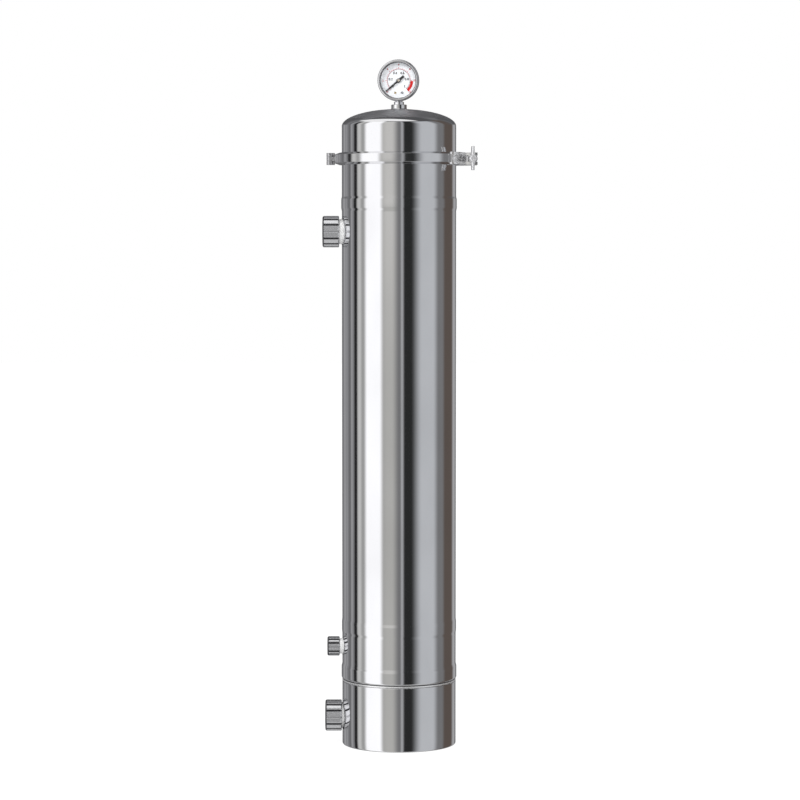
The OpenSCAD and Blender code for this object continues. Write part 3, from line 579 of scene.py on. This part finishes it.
# The swing bolt, its washer and the wing nut
# The bolt is turned and threaded M8 and hangs by its eye from the clevis pin. A loose plain
# washer rides under the wing nut, which is cast with two flared wings and a bored hub.
bolt_steel = blasted("bolt_steel", (0.93, 0.93, 0.94), 0.12, 0.75, 1.5e-6)
bolt_axis = Vector((0.1025, 0.014, joint_z))
eye_bore_r, eye_r, eye_half, eye_chamfer = 0.0026, 0.0064, 0.00415, 0.0006
to_bolt = Matrix.Translation(bolt_axis) @ Matrix.Rotation(math.radians(90), 4, "X")
bolt_end = bolt_axis.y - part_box("swing_bolt")[0].y
crest_r, m8_pitch, m8_depth = 0.004, 0.00125, 0.00068
bolt = bmesh.new()
eye = [(eye_bore_r, -eye_half), (eye_r - eye_chamfer, -eye_half), (eye_r, -eye_half + eye_chamfer)]
eye += [(radius, -z) for radius, z in reversed(eye)]
lathe(bolt, eye, 64, Matrix.Translation(bolt_axis))
core_r = crest_r - m8_depth
shank_start, shank_end = 0.0045, 0.014
shank = [(0, shank_start), (crest_r, shank_start), (crest_r, shank_end), (core_r, shank_end + 0.0008)]
shank += [(core_r, bolt_end - 0.001), (core_r - 0.0008, bolt_end), (0, bolt_end)]
lathe(bolt, shank, 64, to_bolt, closed=False)
thread(bolt, crest_r, m8_depth, m8_pitch, shank_end + 0.0002, bolt_end - 0.0006, to_bolt)
piece("threaded_swing_bolt", bolt, bolt_steel, "swing_bolt", ["swing_bolt"])
eased_piece("plain_washer", "nut_washer", 0.0002, bolt_steel, "nut_washer")

nut_base = bolt_axis.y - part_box("wing_nut")[1].y
# Subdivision draws an eight-sided ring in to this share of its radius.
hub_shrink = 0.902
hub_foot_r, hub_end_r = 0.00672 / hub_shrink, 0.0054 / hub_shrink
nut_bore_r = 0.00405 / hub_shrink
nut = bmesh.new()
hub_rows = [
    (hub_foot_r, 0), (hub_foot_r, 0.0009), (hub_foot_r, 0.006), (hub_foot_r * 0.93, 0.0125),
    (hub_end_r, 0.019), (hub_end_r * 0.97, 0.0228), (hub_end_r * 0.94, 0.0236),
]
bore_rows = [(nut_bore_r, z) for z in (0.0236, 0.0228, 0.012, 0.0009, 0)]
half_side = Matrix.Rotation(math.radians(22.5), 4, "Z")
lathe(nut, hub_rows + bore_rows, 8, half_side)
# Each step of a wing: how far it grows outwards and along the hub, and how much thinner it gets.
wing_steps = ((0.0030, 0.0006, 0.94), (0.0038, 0.0022, 0.94), (0.0030, 0.0020, 1), (0.0007, 0, 1))
for side in (-1, 1):
    grown = [
        f for f in nut.faces
        if side * f.calc_center_median().y > hub_end_r * 0.8 and abs(f.calc_center_median().x) < 0.001
        and 0.006 < f.calc_center_median().z < 0.0228
    ]
    for out, up, thin in wing_steps:
        made = bmesh.ops.extrude_face_region(nut, geom=grown)["geom"]
        bmesh.ops.delete(nut, geom=grown, context="FACES_ONLY")
        verts = [g for g in made if isinstance(g, bmesh.types.BMVert)]
        grown = [g for g in made if isinstance(g, bmesh.types.BMFace)]
        to_middle = Matrix.Translation(sum((v.co for v in verts), Vector()) / len(verts))
        flat = to_middle @ Matrix.Diagonal((thin, 0.35, 0.97, 1)) @ to_middle.inverted()
        bmesh.ops.transform(nut, matrix=flat, verts=verts)
        bmesh.ops.translate(nut, verts=verts, vec=(0, side * out, up))
bmesh.ops.transform(nut, matrix=to_bolt @ Matrix.Translation((0, 0, nut_base)), verts=nut.verts)
wing_nut = piece("cast_wing_nut", nut, bolt_steel, "wing_nut", ["wing_nut"], 80)
rounding = wing_nut.modifiers.new("rounding", "SUBSURF")
rounding.levels = rounding.render_levels = 3


# The gauge's boss, stem and case
# A turned boss in the lid takes the nickel-plated stem with its hexagon. The pressed case has
# a rubber blow-out plug in its back, and a ring rolled over its front holds the window.
gauge_z = 0.933
gauge_r = (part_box("gauge_bezel")[1].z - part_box("gauge_bezel")[0].z) / 2
gauge_turn = math.radians(6)
to_gauge = (
    Matrix.Translation((0, 0, gauge_z)) @ Matrix.Rotation(-gauge_turn, 4, "Z")
    @ Matrix.Rotation(math.radians(90), 4, "X")
)
boss_low, boss_top = dome_z + dome_h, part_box("gauge_boss")[1].z
boss_r, stem_thread_r = 0.011, 0.0065
gauge_steel = polished("gauge_steel", (0.76, 0.76, 0.78), 0.07, (1, 1, 8))
boss = bmesh.new()
lathe(
    boss,
    [(stem_thread_r, boss_low - 0.005), (boss_hole_r, boss_low - 0.005), (boss_hole_r, boss_low)]
    + [(boss_r + 0.0004, boss_low), (boss_r, boss_low + 0.0005), (boss_r, boss_top - 0.0012)]
    + arc(boss_r - 0.0007, boss_top - 0.0007, 0.0007, 0, 90, 4) + [(stem_thread_r, boss_top)],
    96,
)
piece("turned_boss", boss, mirror_steel, "vessel", ["gauge_boss"])
stem_low, stem_top = (corner.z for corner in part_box("gauge_stem"))
hex_top = gauge_z - gauge_r - 0.0004
flat_r, hex_corner_r, hex_chamfer = 0.007, 0.0073, 0.0006
neck_r, stem_bore_r = 0.005, 0.002
stem = lathe(
    bmesh.new(),
    [(stem_bore_r, stem_low), (stem_thread_r, stem_low), (stem_thread_r, boss_top)]
    + [(hex_corner_r, boss_top), (hex_corner_r, hex_top - hex_chamfer)]
    + [(hex_corner_r - hex_chamfer, hex_top), (neck_r, hex_top), (neck_r, stem_top)]
    + [(stem_bore_r, stem_top)],
    144,
)
# The turned blank is milled down to its six flats.
for v in stem.verts:
    turn = math.degrees(math.atan2(v.co.y, v.co.x)) % 60
    from_flat = math.radians(min(turn, 60 - turn))
    radius, milled = v.co.to_2d().length, flat_r / math.cos(from_flat)
    if radius > milled:
        v.co.xy *= milled / radius
piece("plated_stem", stem, gauge_steel, "vessel", ["gauge_stem"])

case_r = gauge_r - 0.0015
case_wall = 0.0009
case_back, case_front = -0.013, 0.009
back_corner = 0.003
case = bmesh.new()
lathe(
    case,
    [(0, case_back), (case_r * 0.6, case_back)]
    + arc(case_r - back_corner, case_back + back_corner, back_corner, -90, 0)
    + [(case_r, 0), (case_r, case_front), (case_r - case_wall, case_front), (case_r - case_wall, 0)]
    + arc(case_r - back_corner, case_back + back_corner, back_corner - case_wall, 0, -90)
    + [(case_r * 0.6, case_back + case_wall), (0, case_back + case_wall)],
    128, to_gauge, closed=False,
)
piece("pressed_case", case, gauge_steel, "vessel", ["gauge_case"])
rubber, rubber_shader, rubber_start = finish("moulded_rubber", Roughness=0.6)
bloom = rubber_start.noise(0.006, detail=4.0).step(0.45, 0.8)
bloom.between((0.018, 0.018, 0.019), (0.05, 0.05, 0.052)).feed(rubber_shader, "Base Color")
rubber_start.noise(0.0007, detail=3.0).relief(2e-5, rubber_shader)
plug_up, plug_hole_r, plug_r = 0.012, 0.0044, 0.0058
plug = lathe(
    bmesh.new(),
    [(0, case_back + 0.0012), (plug_hole_r, case_back + 0.0012), (plug_hole_r, case_back - 0.0002)]
    + [(plug_r, case_back - 0.0002), (plug_r, case_back - 0.0008), (plug_r - 0.0006, case_back - 0.0013)]
    + [(0.0028, case_back - 0.0013), (0.0022, case_back - 0.0008), (0, case_back - 0.0008)],
    64, to_gauge @ Matrix.Translation((0, plug_up, 0)), closed=False,
)
piece("blow_out_plug", plug, rubber, "vessel")

window_r = gauge_r - 0.0036
bezel_back, bezel_front, lens_top = 0.0056, 0.013, 0.011
roll = 0.0022
bezel = bmesh.new()
lathe(
    bezel,
    [(case_r, bezel_back), (gauge_r - 0.0004, bezel_back), (gauge_r, bezel_back + 0.0004)]
    + [(gauge_r, bezel_back + 0.0015)]
    + arc(gauge_r - roll, bezel_front - roll, roll, 0, 90, 10)
    + arc(window_r + 0.0009, bezel_front - 0.0009, 0.0009, 90, 180, 5)
    + [(window_r, lens_top), (case_r, lens_top)],
    160, to_gauge,
)
piece("rolled_bezel", bezel, gauge_steel, "vessel", ["gauge_bezel"])


# The gauge's window
# A pane of clear glass, very slightly domed, held between the bezel and the case. A thin
# black rubber ring round its edge is painted shade: it makes the dark line where the edge falls into
# shade.
lens_low = 0.009
glass, glass_shader, glass_start = finish(
    "window_glass", Roughness=0.02, IOR=1.25, Transmission_Weight=1.0,
)
smear = glass_start.noise(0.02, detail=3.0).step(0.5, 0.9)
smear.between((0.98, 0.99, 0.99), (0.93, 0.95, 0.96)).feed(glass_shader, "Base Color")
clear = glass_start.node("BsdfTransparent")
shadow, diffuse = (
    glass_start.node("LightPath", output=f"Is {ray} Ray") for ray in ("Shadow", "Diffuse")
)
through = shadow.maths("MAXIMUM", diffuse)
pane = glass_start.node(
    "MixShader", inputs={0: through, 1: Shade(glass_start.tree, glass_shader.outputs[0]), 2: clear}
)
pane.feed(glass_start.tree.nodes["Material Output"], "Surface")
lens = bmesh.new()
lens_r = case_r - 0.0001
lathe(
    lens,
    [(0, lens_low), (lens_r, lens_low), (lens_r, lens_top - 0.0003), (lens_r - 0.0003, lens_top)]
    + [(window_r * 0.95, lens_top + 0.0001), (window_r * 0.6, lens_top + 0.0006)]
    + [(0, lens_top + 0.0008)],
    128, to_gauge, closed=False,
)
piece("domed_window", lens, glass, "vessel", ["gauge_lens"])
# Painted shade: a thin black ring that stands in for the shadow line round the window's edge.
shade_ring_r, shade_ring_w = window_r - 0.0003, 0.0005
shade_ring = lathe(bmesh.new(), arc(shade_ring_r, lens_top + 0.0003, shade_ring_w, 0, 330, 11), 128, to_gauge)
piece("window_shade_ring", shade_ring, rubber, "vessel")


# The dial
# An enamelled aluminium plate, printed in red and black: an outer red scale of 0 to 12, an
# inner black scale of 0 to 1, a thin circle between them and a solid red arc at the end.
dial_face = 0.0028
ink_h = 0.00004
dial_white, dial_shader, dial_start = finish("dial_enamel", Roughness=0.35, Coat_Weight=0.4)
orange_peel = dial_start.noise(0.0012, detail=2.0)
stain = dial_start.noise(0.015, detail=3.0).step(0.4, 0.8)
stain.between((0.90, 0.91, 0.935), (0.84, 0.85, 0.88)).feed(dial_shader, "Base Color")
orange_peel.relief(4e-6, dial_shader)
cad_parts["gauge_dial"].data.materials.clear()
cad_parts["gauge_dial"].data.materials.append(dial_white)


def ink(name, colour):
    """Printing ink: a thin film that covers a little unevenly."""
    material, shader, start = finish(name, Roughness=0.6, Specular_IOR_Level=0.2)
    cover = start.noise(0.0007, detail=3.0)
    cover.between(colour, tuple(0.85 * c + 0.004 for c in colour)).feed(shader, "Base Color")
    return material


red_ink = ink("red_ink", (0.72, 0.008, 0.008))
pale_red_ink = ink("pale_red_ink", (0.62, 0.05, 0.07))
black_ink = ink("black_ink", (0.01, 0.01, 0.011))


def on_dial(radius, degrees):
    """A place on the printed face, at a radius and an angle from the right, turned to face out."""
    turn = Matrix.Rotation(math.radians(degrees), 4, "Z")
    return to_gauge @ turn @ Matrix.Translation((radius, 0, dial_face + ink_h / 2))


def tick(shape, radius, degrees, length, width):
    size = Matrix.Diagonal((length, width, ink_h, 1))
    bmesh.ops.create_cube(shape, size=1.0, matrix=on_dial(radius, degrees) @ size)


def printed_arc(shape, inner_r, outer_r, start, end):
    """A printed arc: a small rectangle swept round the dial."""
    low, high = -ink_h / 2, ink_h / 2
    corners = ((inner_r, low), (outer_r, low), (outer_r, high), (inner_r, high))
    before = set(shape.verts)
    ring = [shape.verts.new((radius, 0, z)) for radius, z in corners]
    face = shape.faces.new(ring)
    steps = max(6, round(abs(end - start) / 4))
    bmesh.ops.spin(
        shape, geom=[face, *face.edges, *ring], cent=(0, 0, 0), axis=(0, 0, 1),
        angle=math.radians(end - start), steps=steps,
    )
    place = to_gauge @ Matrix.Translation((0, 0, dial_face + ink_h / 2))
    place = place @ Matrix.Rotation(math.radians(start), 4, "Z")
    bmesh.ops.transform(shape, matrix=place, verts=[v for v in shape.verts if v not in before])


def number(shape, words, radius, degrees, height, weight=0.00012):
    """A printed number, upright on the dial, struck twice so that its lines are bolder."""
    curve = bpy.data.curves.new("number", "FONT")
    curve.body = words
    curve.size = height
    curve.align_x = curve.align_y = "CENTER"
    curve.extrude = ink_h / 2
    curve.offset = height * 0.018
    letters = bpy.data.objects.new("number", curve)
    mesh = letters.to_mesh()
    a = math.radians(degrees)
    middle = Vector((radius * math.cos(a), radius * math.sin(a), dial_face + ink_h / 2))
    mesh.transform(to_gauge @ Matrix.Translation(middle - Vector((weight, 0, 0))))
    shape.from_mesh(mesh)
    mesh.transform(Matrix.Translation(to_gauge.to_3x3() @ Vector((2 * weight, 0, 0))))
    shape.from_mesh(mesh)
    letters.to_mesh_clear()
    bpy.data.objects.remove(letters)


scale_start, scale_end = 225, -45
scale_r = 0.0160
outer_number_r, outer_number_h = 0.0222, 0.0037
inner_number_r, inner_number_h = 0.0114, 0.0046


def graduate(shape, divisions, every, major, minor, numbers, number_r, number_h):
    """A printed scale. A tick is given by its middle from the scale's circle, length and width."""
    def angle(share):
        return scale_start + (scale_end - scale_start) * share

    for i in range(divisions + 1):
        middle, length, width = minor if i % every else major
        tick(shape, scale_r + middle, angle(i / divisions), length, width)
    for i, words in enumerate(numbers):
        number(shape, words, number_r, angle(i / (len(numbers) - 1)), number_h)


red, pale, black = bmesh.new(), bmesh.new(), bmesh.new()
graduate(
    pale, 30, 5, (0.0016, 0.0030, 0.0006), (0.0011, 0.0018, 0.0003),
    [str(2 * i) for i in range(7)], outer_number_r, outer_number_h,
)
graduate(
    black, 50, 10, (-0.0014, 0.0024, 0.0005), (-0.0009, 0.0013, 0.00022),
    [f"{i / 5:g}" for i in range(6)], inner_number_r, inner_number_h,
)
printed_arc(pale, scale_r + 0.00005, scale_r + 0.0004, scale_end, scale_start)
printed_arc(black, scale_r - 0.00035, scale_r - 0.00005, scale_end, scale_start)
red_arc_low_r, red_arc_high_r, red_arc_start, red_arc_end = 0.0166, 0.0202, -48, -2
printed_arc(red, red_arc_low_r, red_arc_high_r, red_arc_start, red_arc_end)
piece("dial_red_arc", red, red_ink, "vessel")
piece("dial_outer_scale", pale, pale_red_ink, "vessel")
piece("dial_inner_scale", black, black_ink, "vessel")


# The pointer and the dial's screws
# A stamped aluminium pointer, painted matt black, on a turned bush that is pressed over the
# arbor. Two cheese-head screws with slots hold the dial; one is brass, the other steel.
pointer_paint, pointer_shader, pointer_start = finish(
    "pointer_paint", Roughness=0.6, Specular_IOR_Level=0.2,
)
speck = pointer_start.noise(0.0006, detail=3.0)
speck.between((0.012, 0.012, 0.013), (0.03, 0.03, 0.032)).feed(pointer_shader, "Base Color")
speck.relief(3e-6, pointer_shader)
blade = eased_copy("gauge_pointer", 0.00012)
rest_angle, hub_clear = 220, 0.0022
widening, flare = 0.1, 70
along, across = (to_gauge @ Matrix.Rotation(math.radians(rest_angle), 4, "Z")).to_3x3().col[:2]
hub_place = Vector((0, 0, gauge_z))
for v in blade.verts:
    reach = (v.co - hub_place).dot(along)
    if reach > hub_clear:
        v.co += across * (v.co - hub_place).dot(across) * (widening + flare * reach)
piece("stamped_pointer", blade, pointer_paint, "pointer", ["gauge_pointer"], 50)
brass = polished("turned_brass", (0.50, 0.40, 0.26), 0.22, (1, 8, 1))
screw_steel = polished("screw_steel", (0.30, 0.31, 0.33), 0.25, (1, 8, 1))
bush_brass = polished("plated_brass", (0.78, 0.71, 0.66), 0.25, (1, 8, 1))
eased_piece("turned_bush", "pointer_bush", 0.0002, bush_brass, "pointer")

screw_x, screw_y = 0.0048, -0.0168
head_r, head_h, head_edge = 0.0017, 0.0009, 0.0002
slot_w, slot_low = 0.0004, 0.0003
screw_r, screw_length = 0.00095, 0.003
for name, side, metal in (("left_dial_screw", -1, brass), ("right_dial_screw", 1, screw_steel)):
    screw = bmesh.new()
    shank = [(0, -screw_length), (screw_r, -screw_length), (screw_r, 0)]
    shank += [(head_r, 0), (head_r, slot_low), (0, slot_low)]
    lathe(screw, shank, 48, closed=False)
    head = [(0, slot_low), (head_r, slot_low), (head_r, head_h - head_edge)]
    head += [(head_r - head_edge, head_h), (0, head_h)]
    for half in (-1, 1):
        before = set(screw.verts)
        lathe(screw, head, 48, closed=False)
        kept = [v for v in screw.verts if v not in before]
        faces = [f for f in screw.faces if f.verts[0] in kept]
        edges = [e for e in screw.edges if e.verts[0] in kept]
        cut = bmesh.ops.bisect_plane(
            screw, geom=kept + edges + faces, plane_co=(0, half * slot_w / 2, 0), plane_no=(0, half, 0),
            clear_inner=True,
        )["geom_cut"]
        bmesh.ops.contextual_create(screw, geom=[g for g in cut if isinstance(g, bmesh.types.BMEdge)])
    turn = Matrix.Rotation(math.radians(35 * side + 50), 4, "Z")
    place = to_gauge @ Matrix.Translation((side * screw_x, screw_y, dial_face)) @ turn
    bmesh.ops.transform(screw, matrix=place, verts=screw.verts)
    piece(name, screw, metal, "vessel", ["dial_screws"])


# The parts inside
# What the closed vessel hides keeps its CAD shape: the pressed head, socket and elbow, the
# cartridge with its potted fibres, the sealing rings and the gauge's movement.
inner_steel = polished("mill_finish_steel", (0.58, 0.58, 0.60), 0.32, (30, 30, 1), 0.5, 6e-6)
groove_steel, groove_shader, groove_start = finish("groove_steel", Metallic=1.0, Roughness=0.45)
head_z = groove_start.node("SeparateXYZ", inputs={0: groove_start.place()}, output="Z")
# Painted shade: the lower head is painted near black in the narrow gap between the skirt's top and the
# tube's foot; the drawing marks add a faint random darkening of their own.
above_skirt = head_z.step(skirt_top - 0.003, skirt_top - 0.001)
crevice_shade = above_skirt * head_z.step(tube_low + 0.003, tube_low + 0.001)
drawing = groove_start.noise(0.01, (30, 30, 1), 4.0)
shade_and_drawing = crevice_shade + drawing * 0.2
shade_and_drawing.between((0.58, 0.58, 0.60), (0.06, 0.06, 0.065)).feed(groove_shader, "Base Color")
drawing.relief(6e-6, groove_shader)

plastic, plastic_shader, plastic_start = finish(
    "extruded_plastic", Roughness=0.42, Subsurface_Weight=0.05,
)
drawn = plastic_start.noise(0.02, (3, 3, 0.1), 3.0)
drawn.between((0.80, 0.78, 0.70), (0.74, 0.72, 0.63)).feed(plastic_shader, "Base Color")
drawn.relief(3e-5, plastic_shader)

fibres, fibre_shader, fibre_start = finish("hollow_fibres", Roughness=0.7)
strand = fibre_start.noise(0.004, (3, 3, 0.02), 4.0, 0.7)
bundled = strand.step(0.3, 0.7)
bundled.between((0.62, 0.61, 0.57), (0.86, 0.86, 0.84)).feed(fibre_shader, "Base Color")
strand.relief(6e-4, fibre_shader)

inside = {
    groove_steel: ("lower_head",),
    inner_steel: ("outlet_socket", "outlet_elbow", "support_ring", "pull_handle"),
    brass: ("bourdon_tube", "gauge_movement"),
    rubber: (
        "lid_seal", "inlet_gasket", "drain_gasket", "outlet_gasket", "spigot_o_rings", "centring_ring",
    ),
    plastic: ("membrane_tube", "upper_potting", "lower_potting"),
    fibres: ("fibre_bundle",),
}
for material, nodes in inside.items():
    for node in nodes:
        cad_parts[node].data.materials.clear()
        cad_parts[node].data.materials.append(material)


# The floor and the studio
# A pale floor that runs out into white. Large white and dark cards stand round the object,
# and only polished metal sees them; to the camera the background is plain white.
floor_shape = bmesh.new()
bmesh.ops.create_grid(floor_shape, x_segments=1, y_segments=1, size=12)
floor_mesh = bpy.data.meshes.new("floor")
floor_shape.to_mesh(floor_mesh)
floor_shape.free()
floor = bpy.data.objects.new("floor", floor_mesh)
bpy.context.scene.collection.objects.link(floor)
floor.visible_glossy = False
floor_paint, floor_shader, floor_start = finish(
    "pale_floor", Base_Color=(0.9, 0.9, 0.9, 1), Roughness=0.9, Specular_IOR_Level=0.0,
)
floor_light, glow_share = 1.12, 0.8
glow = floor_start.node("Emission", inputs={"Color": (1, 1, 1, 1), "Strength": floor_light})
seen = floor_start.node("LightPath", output="Is Camera Ray") * glow_share
mixed = floor_start.node(
    "MixShader", inputs={0: seen, 1: Shade(floor_start.tree, floor_shader.outputs[0]), 2: glow}
)
mixed.feed(floor_start.tree.nodes["Material Output"], "Surface")
floor_mesh.materials.append(floor_paint)

world = bpy.data.worlds.new("studio")
world.use_nodes = True
bpy.context.scene.world = world
sky = Shade(world.node_tree)
axes = [
    sky.node("SeparateXYZ", inputs={0: sky.node("TexCoord", output="Generated")}, output=axis)
    for axis in range(3)
]
azimuth = axes[0].maths("ARCTAN2", axes[1] * -1) * (180 / math.pi)
around = azimuth.maths("ABSOLUTE")
height = axes[2]


def card(colour, centre, half_width, tone, soft):
    """A tall card at an azimuth in degrees from the camera, positive to the right."""
    off = (azimuth - centre).maths("ABSOLUTE")
    return off.step(half_width + soft, half_width - soft).between(colour, tone)


# From the left: a dark corner, a side wall, the big softbox, a warm wall, a black flag, a cool
# fill and a brown curtain. Overhead, a white softbox stands out from a dark ceiling.
studio = azimuth.step(-105, -100).between((0.25, 0.25, 0.26), (0.40, 0.40, 0.395))
warm_wall = azimuth.step(-42, -22)
studio = warm_wall.between(studio, (0.51, 0.505, 0.485))
studio = (warm_wall * height.step(-0.06, 0.03) * 0.8).between(studio, (0.68, 0.67, 0.65))
for low, high, tone in (
    (-15, 1, (0.20, 0.20, 0.205)),
    (8, 12, (0.027, 0.028, 0.028)),
    (24, 48, (0.57, 0.585, 0.61)),
    (72, 88, (0.21, 0.21, 0.215)),
    (97, 108, (0.12, 0.097, 0.085)),
    (132, 144, (0.42, 0.42, 0.43)),
):
    studio = azimuth.step(low, high).between(studio, tone)
for centre, half_width, tone, soft in (
    (-143, 5, (0.37, 0.37, 0.38), 2),
    (-131.5, 2, (0.36, 0.36, 0.37), 2),
    (-119, 3.5, (0.16, 0.16, 0.165), 3.5),
    (-111, 2.5, (0.38, 0.38, 0.39), 2.5),
    (-98.3, 4.8, (0.022, 0.022, 0.023), 2.5),
    (-87, 4.5, (0.64, 0.64, 0.63), 3.5),
    (-53.5, 18.2, (1.25, 1.25, 1.27), 5),
    (6, 2.2, (0.43, 0.435, 0.45), 2),
):
    studio = card(studio, centre, half_width, tone, soft)
studio = around.step(153, 162).between(studio, (0.15, 0.15, 0.155))
behind = around.step(110, 150)
studio = (behind * height.step(0.08, 0.20)).between(studio, (0.11, 0.11, 0.115))

ceiling = height.step(0.76, 0.82).between(studio, (0.10, 0.10, 0.105))
slant = axes[1] + axes[0] * 0.6
top_card = height.step(0.84, 0.90) * slant.step(0.08, -0.02)
left_card = height.step(0.66, 0.74) * slant.step(0.10, 0.0) * axes[0].step(-0.30, -0.42)
ceiling = top_card.maths("MAXIMUM", left_card).between(ceiling, (1.05, 1.05, 1.05))
arc_height = 0.78
arc_card = (height - arc_height).maths("ABSOLUTE").step(0.10, 0.03) * behind
ceiling = arc_card.between(ceiling, (0.21, 0.21, 0.22))
whole_room = (height.step(-0.64, -0.80) * 0.75).between(ceiling, (0.62, 0.62, 0.62))

camera_ray, glossy_ray, transmission_ray = (
    sky.node("LightPath", output=f"Is {ray} Ray") for ray in ("Camera", "Glossy", "Transmission")
)
lighting = sky.node(
    "Mix", {"data_type": "RGBA"}, {0: glossy_ray, 6: (0.80, 0.80, 0.81, 1), 7: whole_room}, 2
)
backdrop = camera_ray.maths("MAXIMUM", transmission_ray).between(lighting, (1.0, 1.0, 1.0))
backdrop.feed(world.node_tree.nodes["Background"], "Color")


def lamp(name, place, aim, size, power):
    """A soft rectangular lamp that mirrors don't show, because the cards stand in for it."""
    data = bpy.data.lights.new(name, "AREA")
    data.shape = "RECTANGLE"
    data.size, data.size_y = size
    data.energy = power
    made = bpy.data.objects.new(name, data)
    made.location = place
    made.rotation_euler = (Vector(aim) - Vector(place)).to_track_quat("-Z", "Y").to_euler()
    made.visible_glossy = False
    bpy.context.scene.collection.objects.link(made)


middle = (0, 0, 0.48)
lamp("key_softbox", (-1.6, -2.2, 2.4), middle, (1.2, 1.2), 40)
lamp("fill_softbox", (2.0, -1.6, 1.6), middle, (1.4, 1.4), 10)
lamp("front_softbox", (0.3, -3.0, 1.5), middle, (1.0, 1.0), 14)


# The camera
# A long lens at about chest height, tilted slightly down so that the whole vessel is framed.
focal_px, frame_px = 2806, 800
camera_place, tilt = (0.0014, -3.94, 0.714), 3.31
camera_data = bpy.data.cameras.new("camera")
camera_data.sensor_width = 36
camera_data.lens = focal_px / frame_px * camera_data.sensor_width
camera = bpy.data.objects.new("camera", camera_data)
camera.location = camera_place
camera.rotation_euler = (math.radians(90 - tilt), 0, 0)
bpy.context.scene.collection.objects.link(camera)
bpy.context.scene.camera = camera

bpy.context.scene.view_settings.view_transform = "Standard"
